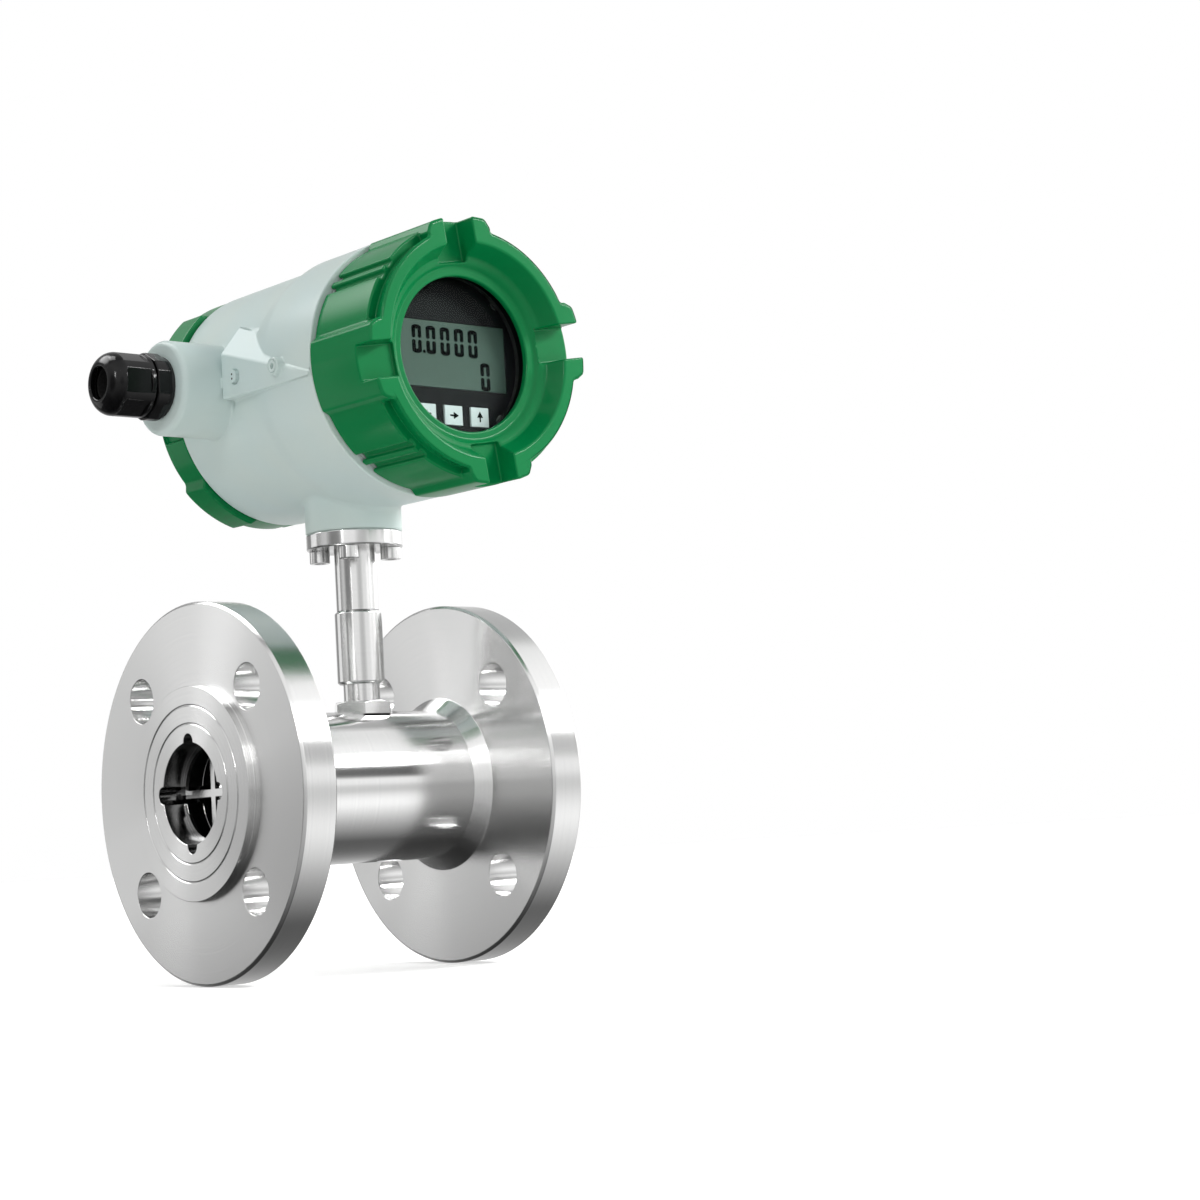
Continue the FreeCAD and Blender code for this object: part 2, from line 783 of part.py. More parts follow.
def neck_screws():
    """Four socket-head screws that go up through the flange into the foot."""
    body = new_body("neck_screws", NECK)
    head_foot = neck_flange_foot - s.neck_screw_head
    head = circle(new_sketch(body, "head", "YZ_Plane", head_foot, 45),
                  s.neck_screw_circle_r, 0, s.neck_screw_head_r)
    repeated(body, raised(body, head, s.neck_screw_head), s.screw_count)
    shank = circle(new_sketch(body, "shank", "YZ_Plane", neck_flange_foot, 45),
                   s.neck_screw_circle_r, 0, s.neck_screw_r)
    length = neck_flange_top - neck_flange_foot + s.neck_screw_reach
    repeated(body, raised(body, shank, length), s.screw_count)
    socket = circle(new_sketch(body, "socket", "YZ_Plane", head_foot, 45),
                    s.neck_screw_circle_r, 0, s.socket_r)
    repeated(body, sunk(body, socket, s.socket_deep), s.screw_count)


# Head housing

partition_back = s.partition_front - s.partition_thickness
front_neck_end = s.front_shoulder + s.front_neck_length
rear_neck_end = s.rear_shoulder + s.rear_neck_length
foot_face = neck_flange_top - head_z


def at_foot_root(edge):
    """True for the edges where the foot meets the round wall."""
    middle = edge.valueAt((edge.FirstParameter + edge.LastParameter) / 2)
    ends = [vertex.Point for vertex in edge.Vertexes]
    on_foot = all(abs(math.hypot(spot.x, spot.y) - s.foot_r.value) < NEAR
                  for spot in [middle] + ends)
    return on_foot and min(spot.z for spot in ends) > foot_face.value + NEAR


def at_boss_rim(edge):
    """True for the rim of the cable boss's face."""
    centre = getattr(edge.Curve, "Center", None)
    return centre is not None and abs(centre.y + boss_face.value) < NEAR


def housing():
    """Cast body: two chambers, foot, cable boss, side pad and board posts."""
    body = turned("housing", FRONT, [
        (-rear_neck_end, chamber_r), (-rear_neck_end, cover_neck_r),
        (-s.rear_shoulder, cover_neck_r), (-s.rear_shoulder, s.housing_r),
        (s.collar_start, s.housing_r), (s.collar_full, collar_r),
        (s.front_shoulder, collar_r), (s.front_shoulder, cover_neck_r),
        (front_neck_end, cover_neck_r), (front_neck_end, chamber_r),
        (s.partition_front, chamber_r), (s.partition_front, 0),
        (partition_back, 0), (partition_back, chamber_r)])
    foot = circle(new_sketch(body, "foot", lift=foot_face), 0, 0, s.foot_r)
    column = raised(body, foot, -foot_face - wall_root)
    softened(body, column, "Fillet", s.foot_rounding, at_foot_root)
    boss = circle(new_sketch(body, "cable_boss", "XZ_Plane", boss_face), -s.boss_y, 0, s.boss_r)
    barrel = raised(body, boss, boss_face - wall_root, back=True)
    softened(body, barrel, "Fillet", s.boss_rounding, at_boss_rim)
    side_pad(body)
    lock = circle(new_sketch(body, "lock_boss", "XZ_Plane", wall_root),
                  s.lock_boss_along, 0, s.lock_boss_r)
    raised(body, lock, lock_out - wall_root)
    post = circle(new_sketch(body, "post", "YZ_Plane", s.partition_front, 45),
                  post_circle_r, 0, s.post_r)
    repeated(body, raised(body, post, s.post_front - s.partition_front), s.post_count)
    tapped = circle(new_sketch(body, "post_hole", "YZ_Plane", s.post_front, 45),
                    post_circle_r, 0, s.stud_r)
    repeated(body, sunk(body, tapped, s.post_hole_deep, ahead=False), s.post_count)
    wiring = circle(new_sketch(body, "neck_bore", lift=foot_face), 0, 0, s.neck_bore_r)
    sunk(body, wiring, -foot_face - chamber_r + CLEAR)
    screw = circle(new_sketch(body, "foot_hole", lift=foot_face, spin=45),
                   s.neck_screw_circle_r, 0, s.neck_screw_r)
    repeated(body, sunk(body, screw, s.neck_screw_reach), s.screw_count, "Z_Axis")
    cable = circle(new_sketch(body, "cable_hole", "XZ_Plane", boss_face),
                   -s.boss_y, 0, s.gland_thread_r + s.gland_hole_gap)
    sunk(body, cable, boss_face - chamber_r + s.cable_hole_past_wall, ahead=False)
    feed = circle(new_sketch(body, "feed_hole", "YZ_Plane", partition_back),
                  0, s.feed_rise, s.feed_r)
    sunk(body, feed, s.partition_thickness)
    pin = circle(new_sketch(body, "lock_hole", "XZ_Plane", lock_out),
                 s.lock_boss_along, 0, s.lock_screw_r)
    sunk(body, pin, s.lock_screw_length, ahead=False)
    earth = circle(new_sketch(body, "ground_hole", "XZ_Plane", pad_out),
                   s.ground_along, s.ground_height, s.ground_screw_r)
    sunk(body, earth, pad_out - wall_root - s.ground_hole_wall, ahead=False)
    seat = circle(new_sketch(body, "ground_seat", "XZ_Plane", ground_seat),
                  s.ground_along, s.ground_height, s.ground_head_r + s.screw_gap)
    sunk(body, seat, pad_out - ground_seat)


def side_pad(body):
    """Raised pad on the cable side, lofted from the boss to a tip at the collar."""
    sections = []
    for name, along, out, top, crest in (
            ("pad_rear", s.pad_start, pad_out, s.pad_top, s.pad_crest),
            ("pad_front", pad_end, pad_out_front, s.pad_tip_top, s.pad_tip_crest)):
        section = new_sketch(body, name, "YZ_Plane", along)
        outline(section, [(-wall_root, s.pad_floor), (-wall_root, crest),
                          (-wall_root - s.pad_root_rise, crest), (-out, top),
                          (-out, s.pad_floor)])
        sections.append(section)
    loft = body.newObject("PartDesign::AdditiveLoft", "SidePad")
    loft.Profile = sections[0]
    loft.Sections = sections[1:]
    loft.Ruled = True


def lock_screw():
    """Set screw with a hexagon socket in the side boss; it locks the front cover."""
    body = new_body("lock_screw", FRONT)
    shank = circle(new_sketch(body, "shank", "XZ_Plane", lock_out),
                   s.lock_boss_along, 0, s.lock_screw_r)
    raised(body, shank, s.lock_screw_length, back=True)
    socket = circle(new_sketch(body, "socket", "XZ_Plane", lock_out),
                    s.lock_boss_along, 0, s.lock_screw_r / 2)
    sunk(body, socket, s.lock_screw_length / 2, ahead=False)


def ground_screw():
    body = new_body("ground_screw", FRONT)
    head = circle(new_sketch(body, "head", "XZ_Plane", ground_seat),
                  s.ground_along, s.ground_height, s.ground_head_r)
    raised(body, head, s.ground_head)
    shank = circle(new_sketch(body, "shank", "XZ_Plane", ground_seat),
                   s.ground_along, s.ground_height, s.ground_screw_r)
    raised(body, shank, ground_seat - wall_root - s.ground_hole_wall - s.ground_tip_gap, back=True)


# Covers

cover_bore = cover_neck_r + s.cover_clearance
seal_outer = cover_bore + s.seal_width


def lobes(body, start, length, clock, outer):
    """Four wide grip lobes with ramped flanks."""
    half, foot = s.lobe_half_angle, s.lobe_foot_angle
    lobe = outline(new_sketch(body, "lobe", "YZ_Plane", start, clock), [
        (lobe_root_r * cosine(foot), -lobe_root_r * sine(foot)),
        (lobe_foot_r * cosine(foot), -lobe_foot_r * sine(foot)),
        (outer * cosine(half), -outer * sine(half), outer),
        (outer * cosine(half), outer * sine(half)),
        (lobe_foot_r * cosine(foot), lobe_foot_r * sine(foot)),
        (lobe_root_r * cosine(foot), lobe_root_r * sine(foot))])
    return repeated(body, raised(body, lobe, length), s.lobe_count)


def flutes(body, start, length, clock, skirt):
    """Two grooves with a slim rib between them, midway between the lobes."""
    floor, beyond = skirt - s.flute_depth, skirt + CLEAR
    near, far = s.flute_inner_angle, s.flute_outer_angle
    sketch = new_sketch(body, "flutes", "YZ_Plane", start, clock + 45)
    for side in (1, -1):
        outline(sketch, [(radius * cosine(angle), side * radius * sine(angle))
                         for radius, angle in ((floor, near), (floor, far),
                                               (beyond, far), (beyond, near))])
    repeated(body, sunk(body, sketch, length), s.lobe_count)


def at_crown_face(edge):
    """True for the outer edges of the crown's front face."""
    return all(abs(vertex.Point.x - crown_front.value) < NEAR for vertex in edge.Vertexes)


def front_cover():
    """Screw cover: fluted skirt, four lobes and a notched crown round the window."""
    body = turned("front_cover", FRONT, [
        (front_rim, 0), (front_rim, s.housing_r), (panel_front, s.housing_r),
        (panel_front, crown_root_r), (crown_front, crown_outer_r), (crown_front, 0)])
    grips = lobes(body, front_rim, crown_front - front_rim, s.lobe_clock, lobe_r)
    softened(body, grips, "Chamfer", s.crown_bevel, at_crown_face)
    flutes(body, front_rim, panel_front - front_rim, s.lobe_clock, s.housing_r)
    lip = dial_face + s.lip_height
    seal_floor = front_rim + s.seal_height
    hollow = outline(new_sketch(body, "hollow"), [
        (front_rim - CLEAR, 0), (front_rim - CLEAR, seal_outer), (seal_floor, seal_outer),
        (seal_floor, cover_bore), (inner_step, cover_bore),
        (inner_step, glass_pocket_r), (glass_seat, glass_pocket_r),
        (glass_seat, s.window_r), (lip, s.window_r), (lip, s.window_r + s.lip_width),
        (dial_face, s.window_r + 2 * s.lip_width), (dial_face, dial_outer_r, s.cove_radius),
        (cove_along, cove_r), (crown_front, crown_inner_r),
        (crown_front + CLEAR, crown_inner_r), (crown_front + CLEAR, 0)])
    spun(body, hollow, "Groove")
    notch = new_sketch(body, "notch", "YZ_Plane", dial_face, s.lobe_clock)
    box_outline(notch, notch_root_r, lobe_r + CLEAR, -s.notch_width / 2, s.notch_width / 2)
    repeated(body, sunk(body, notch, crown_front - dial_face + CLEAR), s.lobe_count)


def window():
    ring_piece("window_gasket", FRONT, glass_front, glass_seat,
               s.window_r + s.gasket_inset, glass_r)
    turned("window_glass", FRONT, [
        (glass_back, 0), (glass_front, 0), (glass_front, glass_r), (glass_back, glass_r)])
    ring_piece("glass_retainer", FRONT, retainer_back, glass_back,
               retainer_inner_r, glass_pocket_r)


def cover_seal(label, frame, shoulder):
    rim = shoulder + s.cover_gap
    ring_piece(label, frame, shoulder + s.cover_gap / 2, rim + s.seal_height,
               cover_bore, seal_outer)


def rear_cover():
    rim = s.rear_shoulder + s.cover_gap
    end = rim + s.rear_cap_length
    body = turned("rear_cover", REAR, [
        (rim, 0), (rim, rear_skirt_r), (end - s.rear_chamfer, rear_skirt_r),
        (end, rear_skirt_r - s.rear_chamfer), (end, 0)])
    lobes(body, rim, s.rear_cap_length - s.rear_chamfer, s.rear_clock, lobe_r)
    flutes(body, rim, s.rear_cap_length - s.rear_chamfer, s.rear_clock, rear_skirt_r)
    hollow = outline(new_sketch(body, "hollow"), [
        (rim - CLEAR, 0), (rim - CLEAR, seal_outer), (rim + s.seal_height, seal_outer),
        (rim + s.seal_height, cover_bore), (end - s.rear_cap_wall, cover_bore),
        (end - s.rear_cap_wall, 0)])
    spun(body, hollow, "Groove")


# Electronics stack


def board(label, start, radius):
    body = turned(label, FRONT, [
        (start, 0), (start + s.board_thickness, 0), (start + s.board_thickness, radius),
        (start, radius)])
    hole = circle(new_sketch(body, "hole", "YZ_Plane", start, 45),
                  post_circle_r, 0, s.board_hole_r)
    repeated(body, sunk(body, hole, s.board_thickness), s.post_count)
    return body


def standoffs():
    """Four long pillars that stud into the cast posts and carry the display."""
    body = new_body("standoffs", FRONT)
    middle = post_circle_r
    pillar = circle(new_sketch(body, "pillar", "YZ_Plane", main_board_front, 45),
                    middle, 0, s.standoff_across / 2)
    length = display_board_back - main_board_front
    repeated(body, raised(body, pillar, length), s.post_count)
    stud = circle(new_sketch(body, "stud", "YZ_Plane", main_board_front, 45), middle, 0, s.stud_r)
    reach = s.board_thickness + s.post_hole_deep - s.stud_end_gap
    repeated(body, raised(body, stud, reach, back=True), s.post_count)
    tapped = circle(new_sketch(body, "tapped", "YZ_Plane", display_board_back, 45),
                    middle, 0, s.stud_r)
    depth = s.face_screw_reach + s.stud_end_gap
    repeated(body, sunk(body, tapped, depth, ahead=False), s.post_count)


def face_spacers():
    body = new_body("face_spacers", FRONT)
    sketch = new_sketch(body, "tube", "YZ_Plane", display_board_front, 45)
    circle(sketch, post_circle_r, 0, s.spacer_r)
    circle(sketch, post_circle_r, 0, s.board_hole_r)
    repeated(body, raised(body, sketch, face_plate_back - display_board_front), s.post_count)


def face_plate():
    """Black face with the window for the panel and openings for the keys."""
    body = turned("face_plate", FRONT, [
        (face_plate_back, 0), (face_front, 0), (face_front, display_board_r),
        (face_plate_back, display_board_r)])
    openings = new_sketch(body, "openings", "YZ_Plane", face_plate_back)
    wide, high = s.lcd_width / 2 + s.lcd_fit, s.lcd_height / 2 + s.lcd_fit
    box_outline(openings, -wide, wide, s.lcd_rise - high, s.lcd_rise + high)
    half_width, half_height = s.key_width / 2 + s.key_gap, s.key_height / 2 + s.key_gap
    for step in (-1, 0, 1):
        middle = step * s.key_pitch
        box_outline(openings, middle - half_width, middle + half_width,
                    -s.key_drop - half_height, -s.key_drop + half_height)
    sunk(body, openings, s.face_plate_thickness)
    hole = circle(new_sketch(body, "hole", "YZ_Plane", face_plate_back, 45),
                  post_circle_r, 0, s.board_hole_r)
    repeated(body, sunk(body, hole, s.face_plate_thickness), s.post_count)


def face_screws():
    body = new_body("face_screws", FRONT)
    head = circle(new_sketch(body, "head", "YZ_Plane", face_front, 45),
                  post_circle_r, 0, s.screw_head_r)
    repeated(body, raised(body, head, s.key_rise), s.post_count)
    shank = circle(new_sketch(body, "shank", "YZ_Plane", face_front, 45),
                   post_circle_r, 0, s.stud_r)
    reach = face_front - display_board_back + s.face_screw_reach
    repeated(body, raised(body, shank, reach, back=True), s.post_count)


def lcd_panel():
    """Display panel: a framed block behind the plate, its glass in the opening."""
    body = new_body("lcd_panel", FRONT)
    wide, high = s.lcd_width / 2, s.lcd_height / 2
    base = new_sketch(body, "frame", "YZ_Plane", display_board_front)
    box_outline(base, -wide - s.lcd_border, wide + s.lcd_border,
                s.lcd_rise - high - s.lcd_border, s.lcd_rise + high + s.lcd_border)
    raised(body, base, face_plate_back - display_board_front)
    glass = new_sketch(body, "glass", "YZ_Plane", face_plate_back)
    box_outline(glass, -wide, wide, s.lcd_rise - high, s.lcd_rise + high)
    raised(body, glass, s.face_plate_thickness - s.lcd_setback)


def key_switches():
    """Three switch blocks on the display board, one under each key."""
    body = new_body("key_switches", FRONT)
    half = s.switch_side / 2
    sketch = new_sketch(body, "blocks", "YZ_Plane", display_board_front)
    for step in (-1, 0, 1):
        middle = step * s.key_pitch
        box_outline(sketch, middle - half, middle + half, -s.key_drop - half, -s.key_drop + half)
        circle(sketch, middle, -s.key_drop, s.switch_hole_r)
    raised(body, sketch, s.switch_height)


def key(label, step):
    """Key cap with a hidden flange behind the plate and a stem into its switch."""
    body = new_body(label, FRONT)
    middle, drop = step * s.key_pitch, -s.key_drop
    half_width, half_height = s.key_width / 2, s.key_height / 2
    flange_front = face_plate_back - s.key_float
    cap = new_sketch(body, "cap", "YZ_Plane", flange_front)
    box_outline(cap, middle - half_width, middle + half_width,
                drop - half_height, drop + half_height)
    raised(body, cap, face_front + s.key_rise - flange_front)
    brim = new_sketch(body, "brim", "YZ_Plane", flange_front - s.key_flange_thickness)
    box_outline(brim, middle - half_width - s.key_flange, middle + half_width + s.key_flange,
                drop - half_height - s.key_flange, drop + half_height + s.key_flange)
    raised(body, brim, s.key_flange_thickness)
    stem_end = display_board_front + s.key_travel + s.key_float
    stem = circle(new_sketch(body, "stem", "YZ_Plane", stem_end), middle, drop, s.key_stem_r)
    raised(body, stem, flange_front - s.key_flange_thickness - stem_end)


def terminal_block():
    """Stepped block on the rear of the partition, with wells for five screws."""
    body = new_body("terminal_block", REAR)
    wide, high = s.terminal_width / 2, s.terminal_height / 2
    base = new_sketch(body, "base", "YZ_Plane", -partition_back)
    box_outline(base, -wide, wide, -high, high)
    raised(body, base, s.terminal_depth)
    step = new_sketch(body, "step", "YZ_Plane", -partition_back + s.terminal_depth)
    box_outline(step, -wide, wide, -high, -high + s.terminal_step)
    sunk(body, step, s.terminal_step, ahead=False)
    wells = new_sketch(body, "wells", "YZ_Plane", -partition_back + s.terminal_depth)
    for place in (-2, -1, 0, 1, 2):
        circle(wells, place * s.terminal_pitch, high / 2, s.terminal_screw_r)
    sunk(body, wells, s.terminal_screw_depth, ahead=False)


def terminal_screws():
    body = new_body("terminal_screws", REAR)
    floor = -partition_back + s.terminal_depth - s.terminal_screw_depth
    heads = new_sketch(body, "heads", "YZ_Plane", floor)
    for place in (-2, -1, 0, 1, 2):
        circle(heads, place * s.terminal_pitch, s.terminal_height / 4, s.terminal_screw_r)
    raised(body, heads, s.terminal_screw_depth / 2)


def feedthrough():
    """Sealed bush that takes the wires through the partition."""
    body = new_body("feedthrough", FRONT)
    core = circle(new_sketch(body, "core", "YZ_Plane", partition_back), 0, s.feed_rise, s.feed_r)
    raised(body, core, s.partition_thickness)
    rim = circle(new_sketch(body, "rim", "YZ_Plane", s.partition_front),
                 0, s.feed_rise, s.feed_flange_r)
    raised(body, rim, s.feed_flange)


# Cable gland


def flats(body, across, start, length):
    """Mills six flats by removing what lies outside a hexagon."""
    sketch = new_sketch(body, "flats", "YZ_Plane", start)
    hexagon(sketch, across)
    circle(sketch, 0, 0, across)
    sunk(body, sketch, length)


def gland_body():
    collar_start = s.gland_washer
    body = turned("gland_body", GLAND, [
        (-s.gland_thread_length, s.gland_bore_r), (-s.gland_thread_length, s.gland_thread_r),
        (collar_start, s.gland_thread_r), (collar_start, s.gland_collar_r),
        (s.gland_collar_end, s.gland_collar_r), (s.gland_collar_end, s.gland_spigot_r),
        (s.gland_spigot_end, s.gland_spigot_r), (s.gland_spigot_end, s.gland_seat_r),
        (s.gland_seat, s.gland_seat_r), (s.gland_seat, s.gland_bore_r)])
    flats(body, s.gland_collar_across, collar_start, s.gland_collar_end - collar_start)


def gland_washer():
    ring_piece("gland_washer", GLAND, 0, s.gland_washer, s.gland_thread_r, s.gland_washer_r)


def gland_nut():
    """Domed nut with six flats; its inner cone squeezes the seal on the cable."""
    dome = s.nut_end - s.nut_dome_start
    body = turned("gland_nut", GLAND, [
        (s.nut_start, s.nut_bore_r), (s.nut_start, s.nut_r), (s.nut_dome_start, s.nut_r, -dome),
        (s.nut_end, s.nut_mouth_r), (s.nut_end, s.nut_hole_r), (s.nut_cone_end, s.nut_hole_r),
        (s.nut_cone_start, s.nut_bore_r)])
    flats(body, s.nut_flats_across, s.nut_flats_start, s.nut_flats_length)


def gland_seal():
    turned("gland_seal", GLAND, [
        (s.gland_seat + s.seal_float, s.seal_bore_r), (s.seal_end, s.seal_bore_r),
        (s.seal_end, s.seal_tip_r), (s.seal_taper, s.seal_outer_r),
        (s.gland_seat + s.seal_float, s.seal_outer_r)])


def build():
    meter_tube()
    for end, frame, hub_end, vane_length in (
            ("inlet", INLET, inlet_hub_end, s.inlet_vane_length),
            ("outlet", OUTLET, outlet_hub_end, s.outlet_vane_length)):
        flange(f"{end}_flange", frame)
        snap_ring(f"{end}_snap_ring", frame)
        flow_guide(f"{end}_guide", frame, hub_end, vane_length)
        bush(f"{end}_bush", frame, hub_end)
    rotor()
    rotor_shaft()
    neck_stem()
    lock_nut()
    pickup_coil()
    pickup_lead()
    neck_sleeve()
    neck_tube()
    neck_flange()
    neck_seal()
    neck_screws()
    housing()
    lock_screw()
    ground_screw()
    front_cover()
    window()
    cover_seal("front_seal", FRONT, s.front_shoulder)
    rear_cover()
    cover_seal("rear_seal", REAR, s.rear_shoulder)
    board("main_board", s.post_front, chamber_r - s.main_board_gap)
    board("display_board", display_board_back, display_board_r)
    standoffs()
    face_spacers()
    face_plate()
    face_screws()
    lcd_panel()
    key_switches()
    for label, step in (("left_key", -1), ("middle_key", 0), ("right_key", 1)):
        key(label, step)
    terminal_block()
    terminal_screws()
    feedthrough()
    gland_body()
    gland_washer()
    gland_nut()
    gland_seal()


build()
doc.recompute()

faulty = [thing.Name for thing in doc.Objects
          if "Invalid" in thing.State or "Error" in thing.State]
if faulty:
    raise RuntimeError(f"objects that did not build: {faulty}")
for piece in pieces:
    if piece.Shape.isNull() or not piece.Shape.isValid():
        raise RuntimeError(f"{piece.Label} has no sound shape")

os.makedirs("parts", exist_ok=True)
for piece in pieces:
    piece.Shape.exportStep(f"parts/{piece.Label}.step")
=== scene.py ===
"""Turbine flow sensor with two pipe flanges: finishes, display signs and stage.

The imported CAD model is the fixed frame. Sizes are in metres in its frame: +X runs down
the pipe, +Z rises to the head, and the display looks along -Y.
"""
import json
import math

import bmesh
import bpy
from bpy.props import FloatProperty, FloatVectorProperty, PointerProperty
from mathutils import Matrix, Vector

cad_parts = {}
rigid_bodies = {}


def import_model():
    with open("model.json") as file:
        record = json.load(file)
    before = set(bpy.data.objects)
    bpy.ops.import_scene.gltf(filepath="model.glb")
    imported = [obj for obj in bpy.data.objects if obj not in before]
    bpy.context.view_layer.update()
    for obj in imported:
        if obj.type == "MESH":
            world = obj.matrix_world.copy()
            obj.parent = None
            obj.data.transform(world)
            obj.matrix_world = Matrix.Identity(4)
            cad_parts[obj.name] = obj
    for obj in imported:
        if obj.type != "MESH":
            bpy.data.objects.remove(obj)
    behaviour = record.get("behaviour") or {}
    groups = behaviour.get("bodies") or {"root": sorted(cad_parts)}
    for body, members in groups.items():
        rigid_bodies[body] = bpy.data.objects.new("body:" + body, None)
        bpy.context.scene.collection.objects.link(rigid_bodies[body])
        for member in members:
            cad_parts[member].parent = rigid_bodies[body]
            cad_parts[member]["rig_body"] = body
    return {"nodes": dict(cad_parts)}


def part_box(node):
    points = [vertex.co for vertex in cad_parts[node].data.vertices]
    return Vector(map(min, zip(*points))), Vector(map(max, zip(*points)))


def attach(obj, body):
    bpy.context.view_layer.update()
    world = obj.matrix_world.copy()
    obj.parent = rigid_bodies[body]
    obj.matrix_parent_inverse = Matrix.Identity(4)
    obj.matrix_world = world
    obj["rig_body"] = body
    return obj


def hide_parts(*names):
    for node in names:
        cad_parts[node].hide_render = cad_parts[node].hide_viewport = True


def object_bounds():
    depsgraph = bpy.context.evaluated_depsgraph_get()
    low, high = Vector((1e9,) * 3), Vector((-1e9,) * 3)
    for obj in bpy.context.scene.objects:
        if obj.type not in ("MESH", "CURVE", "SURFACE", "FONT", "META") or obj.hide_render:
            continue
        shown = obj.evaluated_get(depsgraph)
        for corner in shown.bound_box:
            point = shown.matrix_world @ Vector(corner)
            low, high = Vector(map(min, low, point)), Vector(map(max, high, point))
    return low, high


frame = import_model()
cad_low, cad_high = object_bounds()

bl_info = {
    "name": "Turbine flow sensor",
    "version": (1, 0, 0),
    "blender": (4, 5, 0),
    "location": "3D View > Sidebar > Flow sensor",
    "description": "Finishes and small pieces for a flanged turbine flow sensor",
    "category": "Object",
}

MM = 0.001
# Vertices of a CAD mesh that are nearer to each other than this are one vertex.
WELD = 0.03 * MM
# Thickness of what is printed on a piece.
INK = 0.06 * MM


def linear(code):
    """The linear colour of an sRGB hex code."""
    parts = [int(code[start:start + 2], 16) / 255 for start in (0, 2, 4)]
    return tuple(v / 12.92 if v <= 0.04045 else ((v + 0.055) / 1.055) ** 2.4 for v in parts)


def colour(name, description, code):
    """A colour that a user can change, from its sRGB hex code."""
    return FloatVectorProperty(name=name, description=description, subtype="COLOR", size=3,
                               min=0, max=1, default=linear(code))


def length(name, description, millimetres):
    """A size that a user can change."""
    return FloatProperty(name=name, description=description, unit="LENGTH", min=0,
                         default=millimetres * MM)


class SensorSizes(bpy.types.PropertyGroup):
    """Sizes of the pieces that the scene adds."""

    digit_height: length("Digit height", "Height of the digits on the display", 11.4)
    digit_width: length("Digit width", "Width of the digits on the display", 4.7)
    digit_pitch: length("Digit pitch", "From one digit to the next", 6.95)
    segment_width: length("Segment width", "Width of one bar of a digit", 1.75)
    sign_size: length("Key sign", "Size of the sign on each key", 3.4)
    dial_rise: length("Dial rise", "From the glass out to the dial round it", 3.5)
    dial_reach: length("Dial reach", "Radius within which the dial is pressed flat", 33.2)
    cover_edge: length("Cover edge", "Rounding of the painted covers' edges", 0.8)
    casting_edge: length("Casting edge", "Rounding of the housing's edges", 0.8)
    steel_edge: length("Steel edge", "Broken edge of the turned steel pieces", 0.25)
    screw_edge: length("Screw edge", "Broken edge of the two small screws", 0.125)
    nylon_edge: length("Nylon edge", "Rounding of the cable gland's edges", 0.5)
    key_edge: length("Key edge", "Rounding of the key caps' edges", 0.35)


class SensorColours(bpy.types.PropertyGroup):
    """Colours of the finishes."""

    cover_paint: colour("Cover paint", "Green powder coat of both covers", "01743D")
    cover_paint_thin: colour("Cover paint, thin", "The same paint where it lies thinner", "027D44")
    body_paint: colour("Body paint", "Pale grey powder coat of the housing", "C3D8D9")
    body_paint_thin: colour("Body paint, thin", "The same paint where it lies thinner", "D2DCD4")
    steel_dark: colour("Steel, dark", "Stainless steel in the turning marks", "D3D3D3")
    steel_light: colour("Steel, light", "Stainless steel between the marks", "DCDCDB")
    # The two bore greys are painted shade: darker steel inside the bore, where shade falls, and no
    # stain of the liquid.
    bore_shade_dark: colour("Bore, dark", "Bored steel, stained by the liquid", "6E6E6E")
    bore_shade_light: colour("Bore, light", "Bored steel where it stays brighter", "8A8A8A")
    nylon: colour("Nylon", "Black glass-filled nylon of the cable gland", "060607")
    rubber: colour("Rubber", "Black seal rubber", "161616")
    face: colour("Face plate", "Black print of the face plate", "0C0D11")
    panel: colour("Display panel", "Unlit liquid crystal over its reflector", "4A6058")
    panel_dim: colour("Display panel, dim", "The same panel where the reflector is dimmer", "40534B")
    segment: colour("Segments", "Dark segments of the display", "070B0C")
    key: colour("Keys", "Grey key caps", "C4CACE")
    terminal: colour("Terminal block", "Green polyamide of the terminals", "1E8A4C")
    resin: colour("Resin", "Epoxy that seals the feedthrough", "2A2620")
    wire: colour("Wire", "Grey insulation of the pickup's lead", "8C9094")
    board: colour("Circuit board", "Solder mask of the boards", "0F5A2E")
    copper: colour("Copper", "Enamelled copper winding", "B8703C")
    silicone: colour("Silicone", "Grey silicone of the covers' seals", "8E9A95")
    glass: colour("Glass", "Faint tint of the window", "EEF4F1")
    backdrop: colour("Backdrop", "Floor under the sensor", "F1F1F0")


def sizes():
    return bpy.context.scene.sensor_sizes


def colours():
    return bpy.context.scene.sensor_colours


def rgba(shade):
    return (*shade, 1.0)


# Materials


def add_node(tree, kind, settings=None, links=None):
    """Adds one node with its settings and input values, and links what feeds it."""
    node = tree.nodes.new(kind)
    for name, value in (settings or {}).items():
        if isinstance(name, int) or name in node.inputs:
            node.inputs[name].default_value = value
        else:
            setattr(node, name, value)
    for name, source in (links or {}).items():
        tree.links.new(source, node.inputs[name])
    return node


def new_finish(name, sockets):
    """A material whose shader has these fixed values. Gives its tree and shader too."""
    material = bpy.data.materials.new(name)
    material.use_nodes = True
    tree = material.node_tree
    shader = tree.nodes["Principled BSDF"]
    for socket, value in sockets.items():
        shader.inputs[socket].default_value = value
    return material, tree, shader


